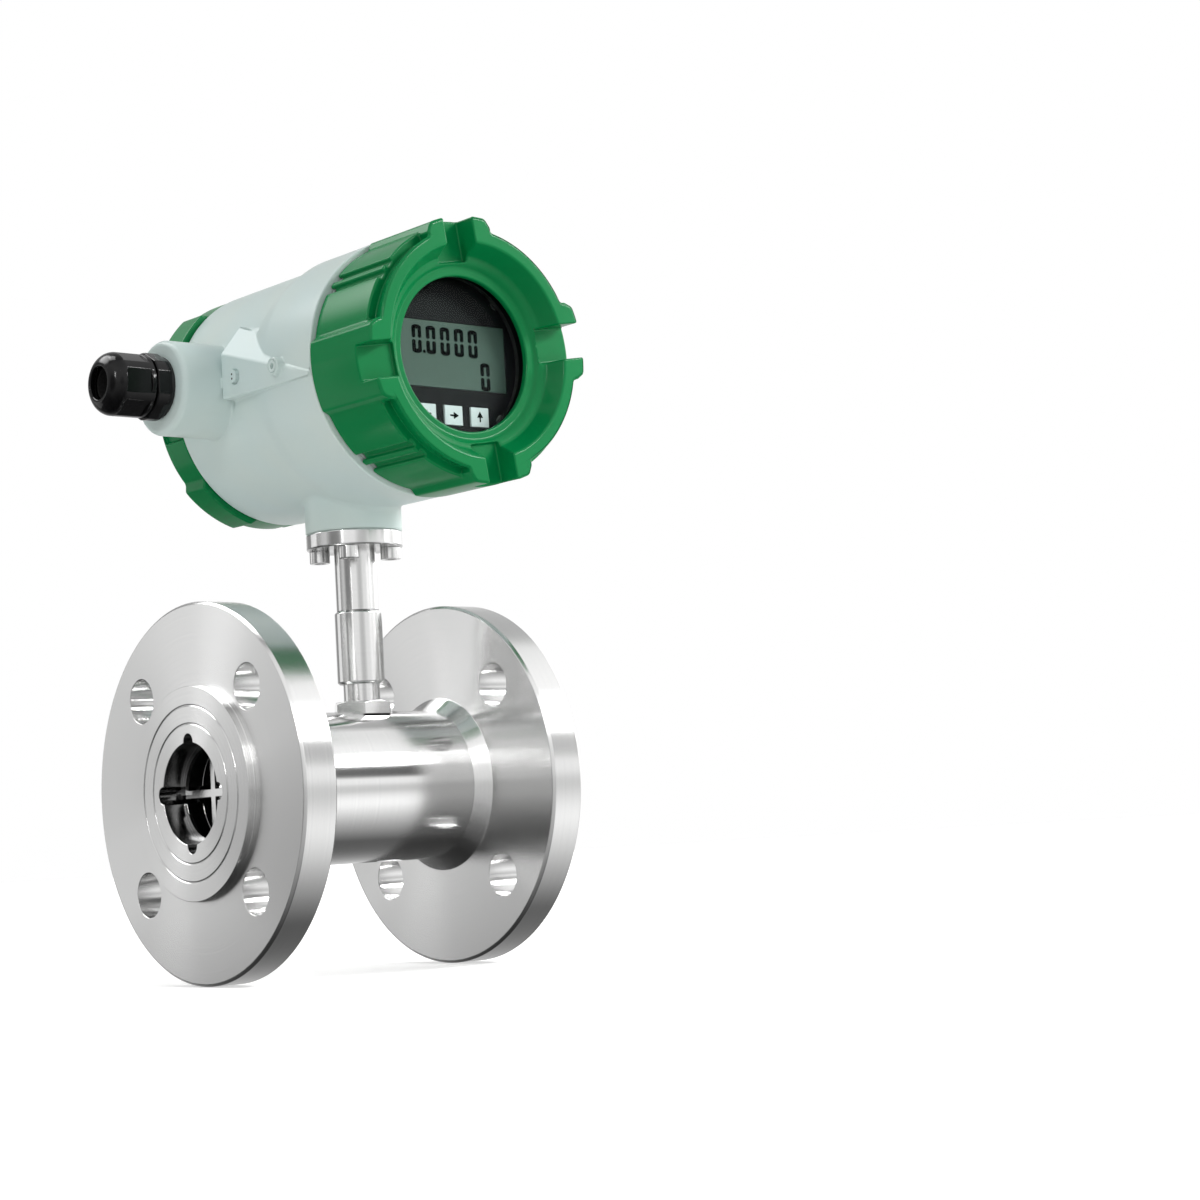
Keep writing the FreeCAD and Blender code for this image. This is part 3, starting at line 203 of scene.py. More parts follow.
def vary(tree, shader, pattern, dark, light, smooth=None, relief=None):
    """Drives the colour of a shader from one pattern, and with it its roughness and relief.

    Smooth is the lowest and highest roughness. Relief is its strength and its depth.
    """
    mix = add_node(tree, "ShaderNodeMix", {"data_type": "RGBA", 6: rgba(dark), 7: rgba(light)},
                   {0: pattern})
    tree.links.new(mix.outputs[2], shader.inputs["Base Color"])
    if smooth:
        low, high = smooth
        spread = add_node(tree, "ShaderNodeMapRange", {"To Min": low, "To Max": high},
                          {"Value": pattern})
        tree.links.new(spread.outputs["Result"], shader.inputs["Roughness"])
    if relief:
        strength, depth = relief
        bump = add_node(tree, "ShaderNodeBump", {"Strength": strength, "Distance": depth},
                        {"Height": pattern})
        tree.links.new(bump.outputs["Normal"], shader.inputs["Normal"])


def turned_steel(name, axis, polish, marks, centre=(0, 0, 0), spread=0.85):
    """Stainless steel off the lathe: fine rings round the axis of turning.

    The rings spread each highlight across them, by as much as spread says, so a face
    shows bright fans from its centre and a rod shows bands along its length. Real feed
    marks are near 0.1 mm apart; they are drawn as coarse as marks says, in mm, so that
    they show.
    """
    shades = colours()
    material, tree, shader = new_finish(name, {
        "Metallic": 1.0, "Roughness": polish, "Anisotropic": spread, "Anisotropic Rotation": 0.25})
    along = {"X": (1, 0, 0), "Y": (0, 1, 0), "Z": (0, 0, 1)}[axis]
    across = [1 - part for part in along]
    place = add_node(tree, "ShaderNodeTexCoord").outputs["Object"]
    moved = add_node(tree, "ShaderNodeVectorMath", {"operation": "SUBTRACT", 1: centre},
                     {0: place})
    radial = add_node(tree, "ShaderNodeVectorMath", {"operation": "MULTIPLY", 1: across},
                      {0: moved.outputs[0]})
    radius = add_node(tree, "ShaderNodeVectorMath", {"operation": "LENGTH"}, {0: radial.outputs[0]})
    depth = add_node(tree, "ShaderNodeVectorMath", {"operation": "DOT_PRODUCT", 1: along},
                     {0: moved.outputs[0]})
    feed = add_node(tree, "ShaderNodeMath", {"operation": "ADD"},
                    {0: radius.outputs["Value"], 1: depth.outputs["Value"]})
    rings = add_node(tree, "ShaderNodeTexNoise",
                     {"noise_dimensions": "1D", "Scale": 1000 / marks, "Detail": 3.0,
                      "Roughness": 0.6}, {"W": feed.outputs[0]})
    vary(tree, shader, rings.outputs["Fac"], shades.steel_dark, shades.steel_light,
         (polish * 0.96, polish * 1.04))
    tangent = add_node(tree, "ShaderNodeTangent", {"direction_type": "RADIAL", "axis": axis})
    tree.links.new(tangent.outputs["Tangent"], shader.inputs["Tangent"])
    return material


def tumbled_steel(name, dark, light):
    """Milled and tumbled stainless steel of the vanes and bore: soft, even gleam.

    Its marks are drawn 1.2 mm wide, coarser than the real ones, so that they show.
    """
    material, tree, shader = new_finish(name, {"Metallic": 1.0})
    place = add_node(tree, "ShaderNodeTexCoord").outputs["Object"]
    grain = add_node(tree, "ShaderNodeTexNoise", {"Scale": 1000 / 1.2, "Detail": 4.0},
                     {"Vector": place})
    vary(tree, shader, grain.outputs["Fac"], dark, light, (0.16, 0.24), (0.1, 0.005 * MM))
    return material


def powder_coat(name, dark, light, gloss):
    """Baked powder coat on cast aluminium: satin, with orange peel about 1.5 mm wide.

    Its thickness, and with it its colour and gloss, drifts over about 40 mm. The thin
    coat is the paint's resin-rich skin, which puts a line of light on rounded edges.
    """
    material, tree, shader = new_finish(name, {
        "IOR": 1.5, "Specular IOR Level": 0.07, "Coat Weight": 0.24, "Coat Roughness": 0.12})
    place = add_node(tree, "ShaderNodeTexCoord").outputs["Object"]
    peel = add_node(tree, "ShaderNodeTexNoise", {"Scale": 1000 / 1.5, "Detail": 2.0},
                    {"Vector": place})
    drift = add_node(tree, "ShaderNodeTexNoise", {"Scale": 1000 / 40, "Detail": 2.0},
                     {"Vector": place})
    vary(tree, shader, drift.outputs["Fac"], dark, light, (gloss * 0.88, gloss * 1.12))
    bump = add_node(tree, "ShaderNodeBump", {"Strength": 0.18, "Distance": 0.03 * MM},
                    {"Height": peel.outputs["Fac"]})
    tree.links.new(bump.outputs["Normal"], shader.inputs["Normal"])
    return material


# Skins of one even colour, by the name of that colour: the material's name, its
# roughness, the width and depth of its grain in mm, and how much it shines, where 0.5
# is usual. The grain is drawn coarser than a mould's, so that it shows.
MOULDED = {
    # Glass fibre leaves a glossy black skin with soft lights on it.
    "nylon": ("glass_filled_nylon", 0.14, 0.8, 0.004, 0.22),
    # Rubber is dull, and the grey silicone shines less.
    "rubber": ("seal_rubber", 0.6, 0.4, 0.02, 0.5),
    "silicone": ("silicone_rubber", 0.55, 0.4, 0.01, 0.3),
    # The print on the face plate and the display's bars are made not to glare.
    "face": ("face_plate_print", 0.5, 0.5, 0.004, 0.07),
    "segment": ("liquid_crystal_segment", 0.4, 1.0, 0.001, 0.0),
    "key": ("key_cap_plastic", 0.42, 0.5, 0.008, 0.5),
    "terminal": ("polyamide_terminal", 0.4, 0.6, 0.006, 0.5),
    # Poured resin sets glossy, with wide soft waves.
    "resin": ("epoxy_resin", 0.25, 3.0, 0.01, 0.5),
    "wire": ("wire_insulation", 0.5, 0.8, 0.01, 0.5),
}


def moulded(shade, name, gloss, grain_size, grain_depth, shine):
    """Moulded, printed or cast plastic or rubber: even colour under a fine grain."""
    material, tree, shader = new_finish(name, {"IOR": 1.53, "Specular IOR Level": shine})
    place = add_node(tree, "ShaderNodeTexCoord").outputs["Object"]
    grain = add_node(tree, "ShaderNodeTexNoise", {"Scale": 1000 / grain_size, "Detail": 3.0},
                     {"Vector": place})
    lighter = tuple(min(1.0, part * 1.18 + 0.002) for part in shade)
    vary(tree, shader, grain.outputs["Fac"], shade, lighter, (gloss * 0.85, gloss * 1.15),
         (0.2, grain_depth * MM))
    return material


def window_glass():
    """Toughened glass, clear: its coating against glare, here a low IOR, keeps its mirror faint."""
    material, tree, shader = new_finish("toughened_glass", {
        "Base Color": rgba(colours().glass), "Roughness": 0.01, "IOR": 1.15,
        "Transmission Weight": 1.0})
    clear = add_node(tree, "ShaderNodeBsdfTransparent", {"Color": rgba(colours().glass)})
    path = add_node(tree, "ShaderNodeLightPath")
    mix = add_node(tree, "ShaderNodeMixShader", {}, {
        0: path.outputs["Is Shadow Ray"], 1: shader.outputs["BSDF"], 2: clear.outputs["BSDF"]})
    tree.links.new(mix.outputs["Shader"], tree.nodes["Material Output"].inputs["Surface"])
    return material


def display_panel():
    """Reflective liquid crystal panel: grey-green, and dimmer in places about 30 mm wide."""
    shades = colours()
    material, tree, shader = new_finish("liquid_crystal_panel", {
        "Roughness": 0.35, "IOR": 1.5, "Specular IOR Level": 0.2})
    place = add_node(tree, "ShaderNodeTexCoord").outputs["Object"]
    cells = add_node(tree, "ShaderNodeTexNoise", {"Scale": 1000 / 30, "Detail": 1.0},
                     {"Vector": place})
    vary(tree, shader, cells.outputs["Fac"], shades.panel_dim, shades.panel)
    return material


def circuit_board():
    """Glass-epoxy board under green solder mask, with the shade of its buried tracks."""
    shade = colours().board
    material, tree, shader = new_finish("solder_mask", {"Roughness": 0.3, "IOR": 1.5})
    place = add_node(tree, "ShaderNodeTexCoord").outputs["Object"]
    tracks = add_node(tree, "ShaderNodeTexBrick",
                      {"Scale": 1000 / 6, "Mortar Size": 0.04, "Color1": rgba(shade),
                       "Color2": rgba([part * 1.25 for part in shade]),
                       "Mortar": rgba([part * 0.6 for part in shade])},
                      {"Vector": place})
    tree.links.new(tracks.outputs["Color"], shader.inputs["Base Color"])
    return material


def copper_winding():
    """Enamelled copper wire wound round the coil: fine light and dark turns."""
    shade = colours().copper
    material, tree, shader = new_finish("enamelled_copper", {"Metallic": 1.0})
    place = add_node(tree, "ShaderNodeTexCoord").outputs["Object"]
    turns = add_node(tree, "ShaderNodeTexWave",
                     {"bands_direction": "Z", "Scale": 1000 / 0.9, "Distortion": 0.6},
                     {"Vector": place})
    vary(tree, shader, turns.outputs["Fac"], [part * 0.7 for part in shade], shade,
         (0.25, 0.4), (0.5, 0.05 * MM))
    return material


def made_finish(name):
    """Makes the material of a finish."""
    shades = colours()
    if name in MOULDED:
        return moulded(getattr(shades, name), *MOULDED[name])
    makers = {
        "flange_steel": lambda: turned_steel("turned_flange_steel", "X", 0.22, 0.9, spread=0.97),
        "tube_steel": lambda: turned_steel("polished_tube_steel", "X", 0.13, 1.1),
        "neck_steel": lambda: turned_steel("polished_neck_steel", "Z", 0.17, 0.9, neck_foot()),
        "vane_steel": lambda: tumbled_steel("tumbled_stainless", shades.steel_dark,
                                            shades.steel_light),
        # The bore's finish is the vanes' steel in darker greys, painted shade for the inside of the
        # bore.
        "shaded_bore_steel": lambda: tumbled_steel("shaded_bored_stainless", shades.bore_shade_dark,
                                            shades.bore_shade_light),
        # The bushes sit deep in the bore and take the same painted shade.
        "bush": lambda: tumbled_steel("hard_bush_alloy", shades.bore_shade_dark, shades.bore_shade_light),
        "body_paint": lambda: powder_coat("body_powder_coat", shades.body_paint,
                                          shades.body_paint_thin, 0.4),
        "cover_paint": lambda: powder_coat("cover_powder_coat", shades.cover_paint,
                                           shades.cover_paint_thin, 0.32),
        "panel": display_panel,
        "glass": window_glass,
        "board": circuit_board,
        "copper": copper_winding,
    }
    return makers[name]()


finishes = {}


def finish(name):
    """Each finish is made once, when the first piece asks for it."""
    if name not in finishes:
        finishes[name] = made_finish(name)
    return finishes[name]


def dress(piece, name):
    """Gives a piece one finish all over."""
    piece.data.materials.clear()
    piece.data.materials.append(finish(name))


def dress_nodes(name, *nodes):
    """Gives CAD nodes one finish."""
    for node in nodes:
        dress(frame["nodes"][node], name)


# Modelling


def neck_foot():
    """Where the neck's axis meets the pipe's axis."""
    low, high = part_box("neck_tube")
    return ((low.x + high.x) / 2, 0, 0)


def head_axis():
    """Middle of the display head: its x and z."""
    low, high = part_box("window_glass")
    return (low.x + high.x) / 2, (low.z + high.z) / 2


def body_name(node):
    return frame["nodes"][node]["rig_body"]


def only(piece):
    """Makes this the one selected and active object."""
    bpy.ops.object.select_all(action="DESELECT")
    piece.select_set(True)
    bpy.context.view_layer.objects.active = piece


def edit_all(piece):
    """Opens a piece in edit mode with all of it selected."""
    only(piece)
    bpy.ops.object.mode_set(mode="EDIT")
    bpy.ops.mesh.select_all(action="SELECT")


def pick(piece, wanted):
    """In edit mode, selects the vertices whose place passes the test."""
    bpy.ops.mesh.select_mode(type="VERT")
    bpy.ops.mesh.select_all(action="DESELECT")
    mesh = bmesh.from_edit_mesh(piece.data)
    for vertex in mesh.verts:
        vertex.select_set(wanted(vertex.co))
    mesh.select_flush_mode()
    bmesh.update_edit_mesh(piece.data)


def turn_about(piece, axis, degrees):
    """Turns a piece's mesh about the origin."""
    edit_all(piece)
    bpy.ops.transform.rotate(value=math.radians(degrees), orient_axis=axis,
                             center_override=(0, 0, 0))
    bpy.ops.object.mode_set(mode="OBJECT")


def lift_mesh(piece, rise):
    """Moves a piece's mesh up."""
    edit_all(piece)
    bpy.ops.transform.translate(value=(0, 0, rise))
    bpy.ops.object.mode_set(mode="OBJECT")


def point_up(piece):
    """Turns a flat triangle until one of its corners points up."""
    heights = [vertex.co.z for vertex in piece.data.vertices]
    if abs(max(heights)) < abs(min(heights)):
        turn_about(piece, "Y", 180)


def copy_at(piece, place):
    """A copy of a piece, with its own mesh, moved to a place."""
    only(piece)
    bpy.ops.object.duplicate(linked=False)
    twin = bpy.context.view_layer.objects.active
    twin.location = place
    bpy.ops.object.transform_apply(location=True, rotation=False, scale=False)
    return twin


def joined(parts):
    """Makes one piece of several."""
    bpy.ops.object.select_all(action="DESELECT")
    for part in parts:
        part.select_set(True)
    bpy.context.view_layer.objects.active = parts[0]
    bpy.ops.object.join()
    return bpy.context.view_layer.objects.active


def remove(piece):
    only(piece)
    bpy.ops.object.delete()


def paint_bore_shade(piece, radius):
    """Gives the faces of a pipe piece's bore, up to a radius, a darker finish: painted shade for the
    inside of the bore.
    """
    piece.data.materials.append(finish("shaded_bore_steel"))
    for face in piece.data.polygons:
        spots = [piece.data.vertices[index].co for index in face.vertices]
        inside = max(math.hypot(spot.y, spot.z) for spot in spots) < radius
        if inside and abs(face.normal.x) < 0.5:
            face.material_index = 1


def settle(piece, name, node, finish_name):
    """Names a new piece, puts its place in its mesh, dresses it and lets it ride with a node."""
    only(piece)
    bpy.ops.object.transform_apply(location=True, rotation=True, scale=True)
    piece.name = name
    piece.data.name = name
    dress(piece, finish_name)
    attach(piece, body_name(node))


def eased(node, edge, finish_name, angle=28, segments=3, reshape=None):
    """A copy of a CAD node with its sharp edges rounded, which stands for the node.

    Edges that turn by more than the angle, in degrees, are rounded. Where reshape is
    given, it moves vertices of the copy before that. The overlap isn't clamped, because
    a clamp would keep every edge as sharp as the shortest one needs.
    """
    source = frame["nodes"][node]
    only(source)
    bpy.ops.object.duplicate()
    piece = bpy.context.view_layer.objects.active
    for mark in [key for key in piece.keys() if key.startswith("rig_")]:
        del piece[mark]
    bpy.ops.object.parent_clear(type="CLEAR")
    bpy.ops.mesh.customdata_custom_splitnormals_clear()
    edit_all(piece)
    bpy.ops.mesh.remove_doubles(threshold=WELD)
    if reshape:
        reshape(piece)
        bpy.ops.mesh.select_all(action="SELECT")
    bpy.ops.mesh.dissolve_limited(angle_limit=math.radians(0.5))
    bpy.ops.object.mode_set(mode="OBJECT")
    bevel = piece.modifiers.new("eased_edges", "BEVEL")
    bevel.width = edge
    bevel.segments = segments
    bevel.limit_method = "ANGLE"
    bevel.angle_limit = math.radians(angle)
    bevel.use_clamp_overlap = False
    bevel.miter_outer = "MITER_ARC"
    bpy.ops.object.modifier_apply(modifier=bevel.name)
    bpy.ops.object.shade_smooth_by_angle(angle=math.radians(32))
    level = piece.modifiers.new("flat_faces_stay_flat", "WEIGHTED_NORMAL")
    level.keep_sharp = True
    level.weight = 90
    bpy.ops.object.modifier_apply(modifier=level.name)
    settle(piece, node + "_eased", node, finish_name)
    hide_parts(node)
    return piece


class SENSOR_OT_pipe_steel(bpy.types.Operator):
    """Finish the flanges, the meter tube, the guides and the turbine in steel"""

    bl_idname = "sensor.pipe_steel"
    bl_label = "Pipe section"

    def execute(self, context):
        edge = sizes().steel_edge
        # The vanes' tips stand in the keyways, whose floors are the farthest of the bore.
        bore_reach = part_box("inlet_guide")[1].z + 1.5 * MM
        for node in ("inlet_flange", "outlet_flange"):
            paint_bore_shade(eased(node, edge, "flange_steel"), bore_reach)
        paint_bore_shade(eased("meter_tube", edge, "tube_steel"), bore_reach)
        for node in ("inlet_guide", "outlet_guide", "rotor"):
            eased(node, edge, "vane_steel", segments=2)
        dress_nodes("vane_steel", "inlet_snap_ring", "outlet_snap_ring", "rotor_shaft")
        dress_nodes("bush", "inlet_bush", "outlet_bush")
        return {"FINISHED"}


class SENSOR_OT_neck(bpy.types.Operator):
    """Finish the neck between the pipe and the head"""

    bl_idname = "sensor.neck"
    bl_label = "Neck"

    def execute(self, context):
        edge = sizes().steel_edge
        for node in ("neck_stem", "lock_nut", "neck_sleeve", "neck_tube"):
            eased(node, edge, "neck_steel", segments=2)
        for node in ("neck_flange", "neck_screws"):
            eased(node, edge, "neck_steel", segments=2)
        dress_nodes("rubber", "neck_seal")
        dress_nodes("copper", "pickup_coil")
        dress_nodes("wire", "pickup_lead")
        return {"FINISHED"}


def painted_pin_hole_shade():
    """Two dark rubber discs in the ground screw's head, at its two holes for a pin wrench: painted
    shade that stands for the dark inside of the holes.
    """
    low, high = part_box("ground_screw")
    hole, spread, fill = (size * MM for size in (0.45, 0.9, 0.3))
    holes = []
    for side in (spread, -spread):
        bpy.ops.object.select_all(action="DESELECT")
        bpy.ops.mesh.primitive_cylinder_add(
            vertices=20, radius=hole, depth=fill, rotation=(0, math.radians(90), 0),
            location=(low.x + 0.4 * fill, (low.y + high.y) / 2, (low.z + high.z) / 2 + side))
        piece = bpy.context.view_layer.objects.active
        bpy.ops.object.transform_apply(location=True, rotation=True, scale=True)
        holes.append(piece)
    # The black rubber finish here paints the shade inside the two pin holes.
    settle(joined(holes), "ground_screw_pin_holes", "ground_screw", "rubber")


class SENSOR_OT_housing(bpy.types.Operator):
    """Finish the cast housing and its small screws, which are painted over with it"""

    bl_idname = "sensor.housing"
    bl_label = "Head housing"

    def execute(self, context):
        eased("housing", sizes().casting_edge, "body_paint", angle=24)
        for node in ("lock_screw", "ground_screw"):
            eased(node, sizes().screw_edge, "body_paint", segments=2)
        # Dark discs paint the shade inside the ground screw's pin holes.
        painted_pin_hole_shade()
        return {"FINISHED"}


def level_dial(piece):
    """Presses the lip round the window flat into the dial, so that only a rounded edge is left."""
    middle_x, middle_z = head_axis()
    reach = sizes().dial_reach
    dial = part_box("window_glass")[0].y - sizes().dial_rise
    pick(piece, lambda spot: spot.y < dial
         and math.hypot(spot.x - middle_x, spot.z - middle_z) < reach)
    bpy.ops.transform.resize(value=(1, 0, 1), center_override=(0, dial, 0))


class SENSOR_OT_covers(bpy.types.Operator):
    """Finish the two screw covers, the window and their seals"""

    bl_idname = "sensor.covers"
    bl_label = "Covers and window"

    def execute(self, context):
        edge = sizes().cover_edge
        eased("front_cover", edge, "cover_paint", angle=24, reshape=level_dial)
        eased("rear_cover", edge, "cover_paint", angle=24)
        dress_nodes("silicone", "front_seal", "rear_seal")
        dress_nodes("rubber", "window_gasket", "glass_retainer")
        dress_nodes("glass", "window_glass")
        return {"FINISHED"}


class SENSOR_OT_gland(bpy.types.Operator):
    """Finish the cable gland"""

    bl_idname = "sensor.gland"
    bl_label = "Cable gland"

    def execute(self, context):
        for node in ("gland_body", "gland_nut"):
            eased(node, sizes().nylon_edge, "nylon")
        dress_nodes("rubber", "gland_washer", "gland_seal")
        return {"FINISHED"}


class SENSOR_OT_electronics(bpy.types.Operator):
    """Finish the boards and what is on them"""

    bl_idname = "sensor.electronics"
    bl_label = "Electronics"

    def execute(self, context):
        dress_nodes("board", "main_board", "display_board")
        dress_nodes("vane_steel", "standoffs", "face_screws", "terminal_screws")
        dress_nodes("nylon", "face_spacers", "key_switches")
        dress_nodes("terminal", "terminal_block")
        dress_nodes("resin", "feedthrough")
        dress_nodes("face", "face_plate")
        dress_nodes("panel", "lcd_panel")
        for node in ("left_key", "middle_key", "right_key"):
            eased(node, sizes().key_edge, "key")
        return {"FINISHED"}


def bar_piece(long, wide, deep):
    """A flat bar at the origin, upright in XZ, with a point at each end.

    It is a hexagon with a corner up, made narrow and then pulled long at both ends.
    """
    bpy.ops.object.select_all(action="DESELECT")
    bpy.ops.mesh.primitive_cylinder_add(vertices=6, radius=wide, depth=deep)
    piece = bpy.context.view_layer.objects.active
    turn_about(piece, "X", 90)
    corner_is_up = max(vertex.co.z for vertex in piece.data.vertices) > wide * 0.99
    if not corner_is_up:
        turn_about(piece, "Y", 90)
    breadth = max(vertex.co.x for vertex in piece.data.vertices)
    squeeze = wide / 2 / breadth
    tip = wide * squeeze
    edit_all(piece)
    bpy.ops.transform.resize(value=(squeeze, 1, squeeze), center_override=(0, 0, 0))
    for side in (1, -1):
        pick(piece, lambda spot: spot.z * side > tip * 0.2)
        bpy.ops.transform.translate(value=(0, 0, side * (long / 2 - tip)))
    bpy.ops.object.mode_set(mode="OBJECT")
    return piece


# Left top corners of the upper row's first digit and of the lower row's only digit, to
# the right of the middle of the window and above it.
UPPER_ROW = (-18.0 * MM, 12.4 * MM)
LOWER_DIGIT = (15.4 * MM, -0.5 * MM)
UPPER_DIGITS = 5


class SENSOR_OT_digits(bpy.types.Operator):
    """Draw the display's two rows of zeros in pointed bars"""

    bl_idname = "sensor.digits"
    bl_label = "Display digits"

    def execute(self, context):
        plan = sizes()
        head_x, head_z = head_axis()
        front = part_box("lcd_panel")[0].y - INK / 2
        wide, high, bar = plan.digit_width, plan.digit_height, plan.segment_width
        # The bars stop short of each other, as those of a real display do.
        upright = bar_piece(high / 2 - bar * 0.3, bar, INK)
        lying = bar_piece(wide - bar * 0.8, bar, INK)
        turn_about(lying, "Y", 90)
        parts = []
        row_left, row_top = UPPER_ROW
        digits = [(row_left + step * plan.digit_pitch, row_top) for step in range(UPPER_DIGITS)]
        for left, top in (*digits, LOWER_DIGIT):
            left += head_x
            top += head_z
            for side in (bar / 2, wide - bar / 2):
                for level in (0.25, 0.75):
                    parts.append(copy_at(upright, (left + side, front, top - high * level)))
            for level in (bar / 2, high - bar / 2):
                parts.append(copy_at(lying, (left + wide / 2, front, top - level)))
        point_radius = bar * 0.42
        bpy.ops.object.select_all(action="DESELECT")
        bpy.ops.mesh.primitive_cylinder_add(
            vertices=12, radius=point_radius, depth=INK, rotation=(math.radians(90), 0, 0),
            location=(head_x + row_left + (wide + plan.digit_pitch) / 2, front,
                      head_z + row_top - high + bar / 2))
        point = context.view_layer.objects.active
        bpy.ops.object.transform_apply(location=True, rotation=True, scale=True)
        parts.append(point)
        remove(upright)
        remove(lying)
        settle(joined(parts), "display_digits", "lcd_panel", "segment")
        return {"FINISHED"}


class SENSOR_OT_key_signs(bpy.types.Operator):
    """Put a plain arrow on each key"""

    bl_idname = "sensor.key_signs"
    bl_label = "Key signs"

    def execute(self, context):
        size = sizes().sign_size
        head_radius, head_rise = size * 0.5, size * 0.22
        shaft_length, shaft_width, shaft_drop = size * 0.62, size * 0.2, size * 0.28
        for node, turn in (("left_key", 90), ("middle_key", -90), ("right_key", 0)):
            low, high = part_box(node)
            bpy.ops.object.select_all(action="DESELECT")
            bpy.ops.mesh.primitive_cylinder_add(vertices=3, radius=head_radius, depth=INK)
            head = context.view_layer.objects.active
            turn_about(head, "X", 90)
            point_up(head)
            lift_mesh(head, head_rise)
            shaft = bar_piece(shaft_length, shaft_width, INK)
            lift_mesh(shaft, -shaft_drop)
            sign = joined([head, shaft])
            turn_about(sign, "Y", turn)
            sign.location = ((low.x + high.x) / 2, low.y - INK / 2, (low.z + high.z) / 2)
            settle(sign, node + "_sign", node, "segment")
        return {"FINISHED"}


# Stage

SENSOR_MIDDLE = (0.08, 0.0, 0.09)

# Name, place, what it faces, width and height, and power in watts.
SOFTBOXES = (
    ("right_softbox", (1.3, -1.6, 1.15), SENSOR_MIDDLE, (0.9, 0.35), 26),
    ("edge_softbox", (0.7, -0.5, 0.45), (0.1, -0.1, 0.2), (0.25, 0.25), 2),
    ("left_softbox", (-1.8, -0.9, 1.0), SENSOR_MIDDLE, (0.07, 0.6), 7),
    ("top_softbox", (-0.4, 0.5, 1.9), SENSOR_MIDDLE, (0.7, 0.7), 8.5),
    ("flange_card", (-0.25, 0.53, 0.07), (0.03, 0.0, 0.0), (0.26, 0.34), 0.2),
)

# Brightness of the studio that gloss mirrors, from straight down (0) to straight up (1).
STUDIO_LEVELS = ((0.0, 0.03), (0.12, 0.18), (0.24, 0.45), (0.36, 0.7), (0.49, 0.85),
                 (0.53, 1.15), (0.85, 1.3), (1.0, 0.8))

# Round patches of that studio: where each one hangs, the direction to it, the cosines
# at which it starts and is full, and what it multiplies the brightness by.
STUDIO_PATCHES = (
    ("left behind, wide", (-0.66, 0.75, 0.0), 0.2, 0.95, 0.62),
    ("above and behind", (0.0, 0.6, 0.8), 0.66, 0.74, 0.5),
    ("lamp above, left behind", (-0.35, 0.58, 0.73), 0.93, 0.97, 15.0),
    ("right, raised", (0.94, 0.03, 0.34), 0.9, 0.96, 2.0),
    ("straight behind", (-0.2, 0.97, 0.05), 0.85, 0.97, 0.5),
    ("front right", (0.75, -0.65, 0.05), 0.85, 0.97, 1.05),
    ("front right, low", (0.65, -0.5, -0.57), 0.84, 0.96, 2.4),
    ("left", (-0.99, -0.14, 0.03), 0.9, 0.98, 0.28),
    ("front", (-0.31, -0.95, 0.05), 0.95, 0.995, 0.62),
    ("left behind, low", (-0.5, 0.6, -0.62), 0.72, 0.86, 0.35),
    ("left behind, level", (-0.72, 0.69, -0.05), 0.95, 0.998, 0.55),
    ("dark card for the window", (0.585, -0.754, 0.2985), 0.986, 0.995, 0.05),
)


def soft_light(name, place, target, size, power):
    """A softbox that faces its target. It shows in gloss, but not straight or through glass."""
    bpy.ops.object.light_add(type="AREA", location=place)
    lamp = bpy.context.view_layer.objects.active
    lamp.name = name
    lamp.rotation_euler = (Vector(place) - Vector(target)).to_track_quat("Z", "Y").to_euler()
    lamp.data.shape = "RECTANGLE"
    lamp.data.size, lamp.data.size_y = size
    lamp.data.energy = power
    lamp.visible_camera = False
    lamp.visible_transmission = False


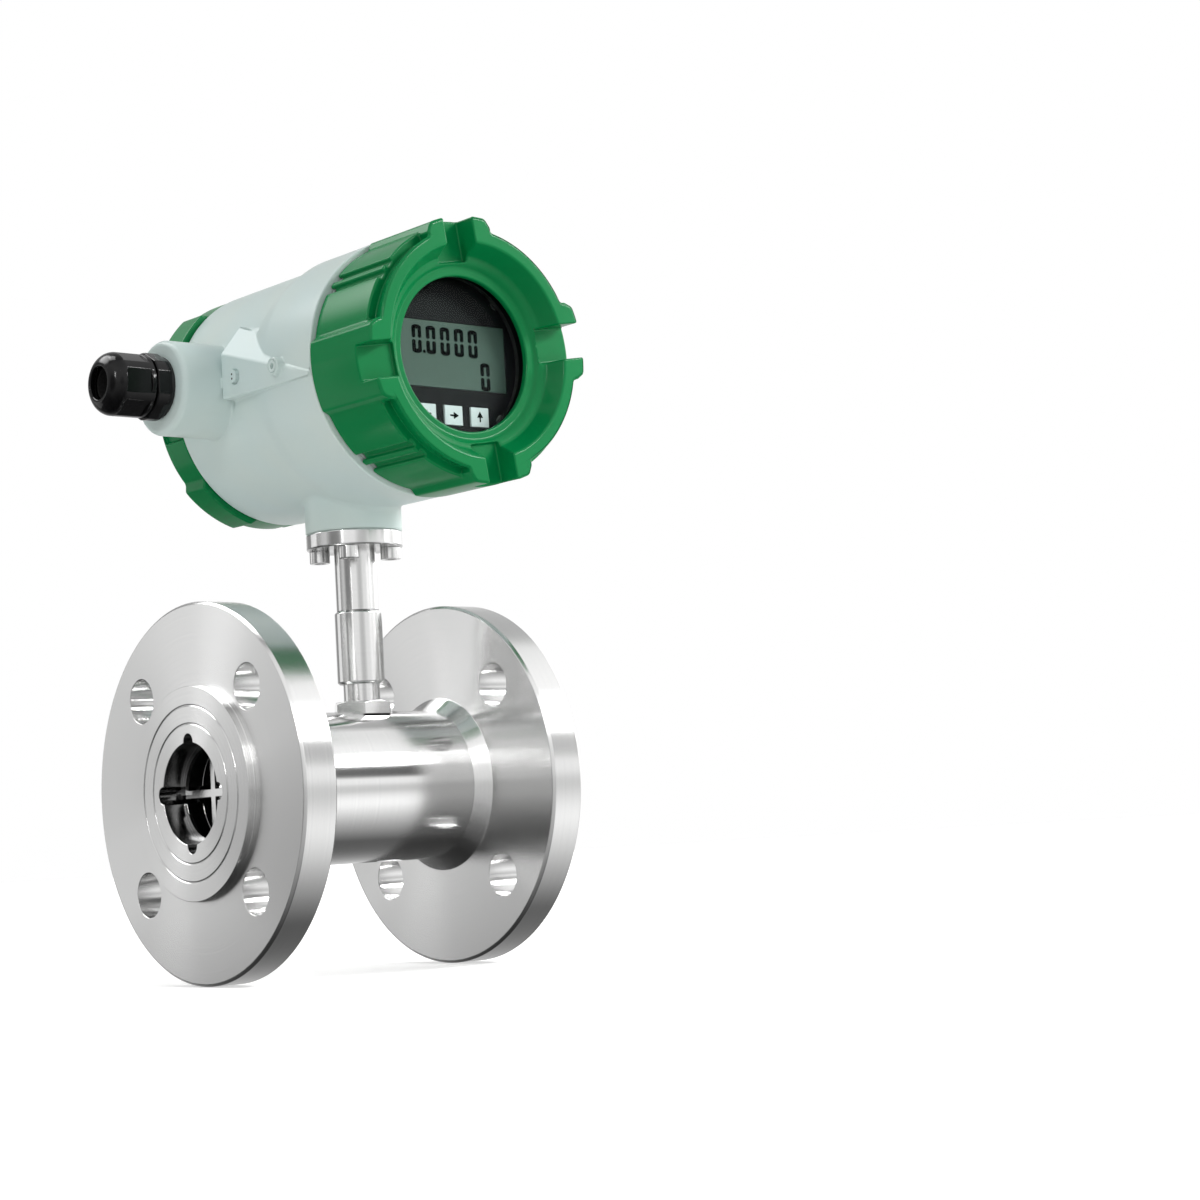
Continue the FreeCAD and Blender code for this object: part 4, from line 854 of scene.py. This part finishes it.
def studio_world():
    """White to the camera and straight through the window, and a dim even light elsewhere.

    Gloss mirrors a pale studio instead, with lighter and darker bands and patches.
    """
    world = bpy.data.worlds.new("studio")
    bpy.context.scene.world = world
    world.use_nodes = True
    tree = world.node_tree
    tree.nodes.clear()
    direction = add_node(tree, "ShaderNodeTexCoord").outputs["Generated"]
    parts = add_node(tree, "ShaderNodeSeparateXYZ", {}, {0: direction})
    height = add_node(tree, "ShaderNodeMapRange", {"From Min": -1.0, "From Max": 1.0},
                      {"Value": parts.outputs["Z"]})
    bands = add_node(tree, "ShaderNodeValToRGB", {}, {"Fac": height.outputs["Result"]})
    stops = bands.color_ramp.elements
    for place, level in STUDIO_LEVELS[1:-1]:
        stops.new(place)
    for stop, (place, level) in zip(stops, STUDIO_LEVELS):
        stop.color = rgba((level, level, level))
    strength = None
    for name, toward, start, full, level in STUDIO_PATCHES:
        along = add_node(tree, "ShaderNodeVectorMath",
                         {"operation": "DOT_PRODUCT", "label": name, 1: toward}, {0: direction})
        shade = add_node(tree, "ShaderNodeMapRange",
                         {"From Min": start, "From Max": full, "To Min": 1.0, "To Max": level},
                         {"Value": along.outputs["Value"]}).outputs["Result"]
        if strength:
            shade = add_node(tree, "ShaderNodeMath", {"operation": "MULTIPLY"},
                             {0: strength, 1: shade}).outputs[0]
        strength = shade
    studio = add_node(tree, "ShaderNodeBackground", {},
                      {"Color": bands.outputs["Color"], "Strength": strength})
    ambient = add_node(tree, "ShaderNodeBackground", {"Color": (1, 1, 1, 1), "Strength": 0.45})
    white = add_node(tree, "ShaderNodeBackground", {"Color": (1, 1, 1, 1), "Strength": 1.0})
    path = add_node(tree, "ShaderNodeLightPath")
    mirrored = add_node(tree, "ShaderNodeMixShader", {}, {
        0: path.outputs["Is Glossy Ray"], 1: ambient.outputs[0], 2: studio.outputs[0]})
    not_scattered = add_node(tree, "ShaderNodeMath", {"operation": "LESS_THAN", 1: 0.5},
                             {0: path.outputs["Diffuse Depth"]})
    through_glass = add_node(tree, "ShaderNodeMath", {"operation": "MULTIPLY"},
                             {0: path.outputs["Is Transmission Ray"], 1: not_scattered.outputs[0]})
    straight = add_node(tree, "ShaderNodeMath", {"operation": "MAXIMUM"},
                        {0: path.outputs["Is Camera Ray"], 1: through_glass.outputs[0]})
    seen = add_node(tree, "ShaderNodeMixShader", {}, {
        0: straight.outputs[0], 1: mirrored.outputs[0], 2: white.outputs[0]})
    add_node(tree, "ShaderNodeOutputWorld", {}, {"Surface": seen.outputs[0]})


def photo_camera():
    """The camera as fitted to the edges of both flanges in the photograph.

    Azimuth is from the front, where left is negative. Elevation is from level, where
    below is negative. Roll is about the line of sight.
    """
    azimuth, elevation, roll = (math.radians(angle) for angle in (-41.06, -5.32, -3.31))
    target, distance = Vector((0.21717, 0.0, 0.07968)), 1.11167
    back = Vector((math.sin(azimuth) * math.cos(elevation),
                   -math.cos(azimuth) * math.cos(elevation), math.sin(elevation)))
    right = Vector((math.cos(azimuth), math.sin(azimuth), 0.0))
    up = back.cross(right)
    level_right = right * math.cos(roll) + up * math.sin(roll)
    level_up = up * math.cos(roll) - right * math.sin(roll)
    bpy.ops.object.camera_add()
    camera = bpy.context.view_layer.objects.active
    camera.name = "photo_camera"
    turn = Matrix((level_right, level_up, back)).transposed().to_4x4()
    camera.matrix_world = Matrix.Translation(target + back * distance) @ turn
    camera.data.sensor_width = 36.0
    camera.data.lens = 74.147
    camera.data.clip_start = 0.01
    camera.data.clip_end = 100.0
    bpy.context.scene.camera = camera


def paper_finish():
    """Matt white paper. The camera sees it lit up to white farther out, and mirrors see past it."""
    material, tree, shader = new_finish("matt_backdrop_paper", {
        "Base Color": rgba(colours().backdrop), "Roughness": 0.9, "Specular IOR Level": 0.2})
    place = add_node(tree, "ShaderNodeTexCoord").outputs["Object"]
    path = add_node(tree, "ShaderNodeLightPath")
    away = add_node(tree, "ShaderNodeVectorMath", {"operation": "LENGTH"}, {0: place})
    reach = add_node(tree, "ShaderNodeMapRange",
                     {"From Min": 0.2, "From Max": 1.6, "To Min": 0.5, "To Max": 1.0},
                     {"Value": away.outputs["Value"]})
    lift = add_node(tree, "ShaderNodeMath", {"operation": "MULTIPLY"},
                    {0: path.outputs["Is Camera Ray"], 1: reach.outputs["Result"]})
    glow = add_node(tree, "ShaderNodeEmission", {"Color": (1, 1, 1, 1)},
                    {"Strength": lift.outputs[0]})
    lit = add_node(tree, "ShaderNodeAddShader", {}, {0: shader.outputs[0], 1: glow.outputs[0]})
    clear = add_node(tree, "ShaderNodeBsdfTransparent")
    mix = add_node(tree, "ShaderNodeMixShader", {}, {
        0: path.outputs["Is Glossy Ray"], 1: lit.outputs[0], 2: clear.outputs[0]})
    tree.links.new(mix.outputs[0], tree.nodes["Material Output"].inputs["Surface"])
    return material


class SENSOR_OT_stage(bpy.types.Operator):
    """Set up the floor, the soft lights, the studio world and the camera"""

    bl_idname = "sensor.stage"
    bl_label = "Stage"

    def execute(self, context):
        context.scene.view_settings.view_transform = "Standard"
        bpy.ops.object.select_all(action="DESELECT")
        gap = 0.2 * MM
        middle_x = 0.07
        bpy.ops.mesh.primitive_circle_add(vertices=96, radius=6.0, fill_type="NGON",
                                          location=(middle_x, 0.0, cad_low.z - gap))
        floor = context.view_layer.objects.active
        floor.name = "floor"
        floor.data.materials.append(paper_finish())
        for softbox in SOFTBOXES:
            soft_light(*softbox)
        studio_world()
        photo_camera()
        return {"FINISHED"}


OPERATORS = (
    SENSOR_OT_pipe_steel,
    SENSOR_OT_neck,
    SENSOR_OT_housing,
    SENSOR_OT_covers,
    SENSOR_OT_gland,
    SENSOR_OT_electronics,
    SENSOR_OT_digits,
    SENSOR_OT_key_signs,
    SENSOR_OT_stage,
)


class SENSOR_PT_pieces(bpy.types.Panel):
    """Lists the steps that dress the sensor"""

    bl_label = "Flow sensor"
    bl_idname = "SENSOR_PT_pieces"
    bl_space_type = "VIEW_3D"
    bl_region_type = "UI"
    bl_category = "Flow sensor"

    def draw(self, context):
        for operator in OPERATORS:
            self.layout.operator(operator.bl_idname)
        for group in (context.scene.sensor_sizes, context.scene.sensor_colours):
            box = self.layout.box()
            for name in group.__annotations__:
                box.prop(group, name)


CLASSES = (SensorSizes, SensorColours, *OPERATORS, SENSOR_PT_pieces)


def register():
    for entry in CLASSES:
        bpy.utils.register_class(entry)
    bpy.types.Scene.sensor_sizes = PointerProperty(type=SensorSizes)
    bpy.types.Scene.sensor_colours = PointerProperty(type=SensorColours)


def unregister():
    del bpy.types.Scene.sensor_colours
    del bpy.types.Scene.sensor_sizes
    for entry in reversed(CLASSES):
        bpy.utils.unregister_class(entry)


def main():
    register()
    for operator in OPERATORS:
        group, name = operator.bl_idname.split(".")
        getattr(getattr(bpy.ops, group), name)()


if __name__ == "__main__":
    main()
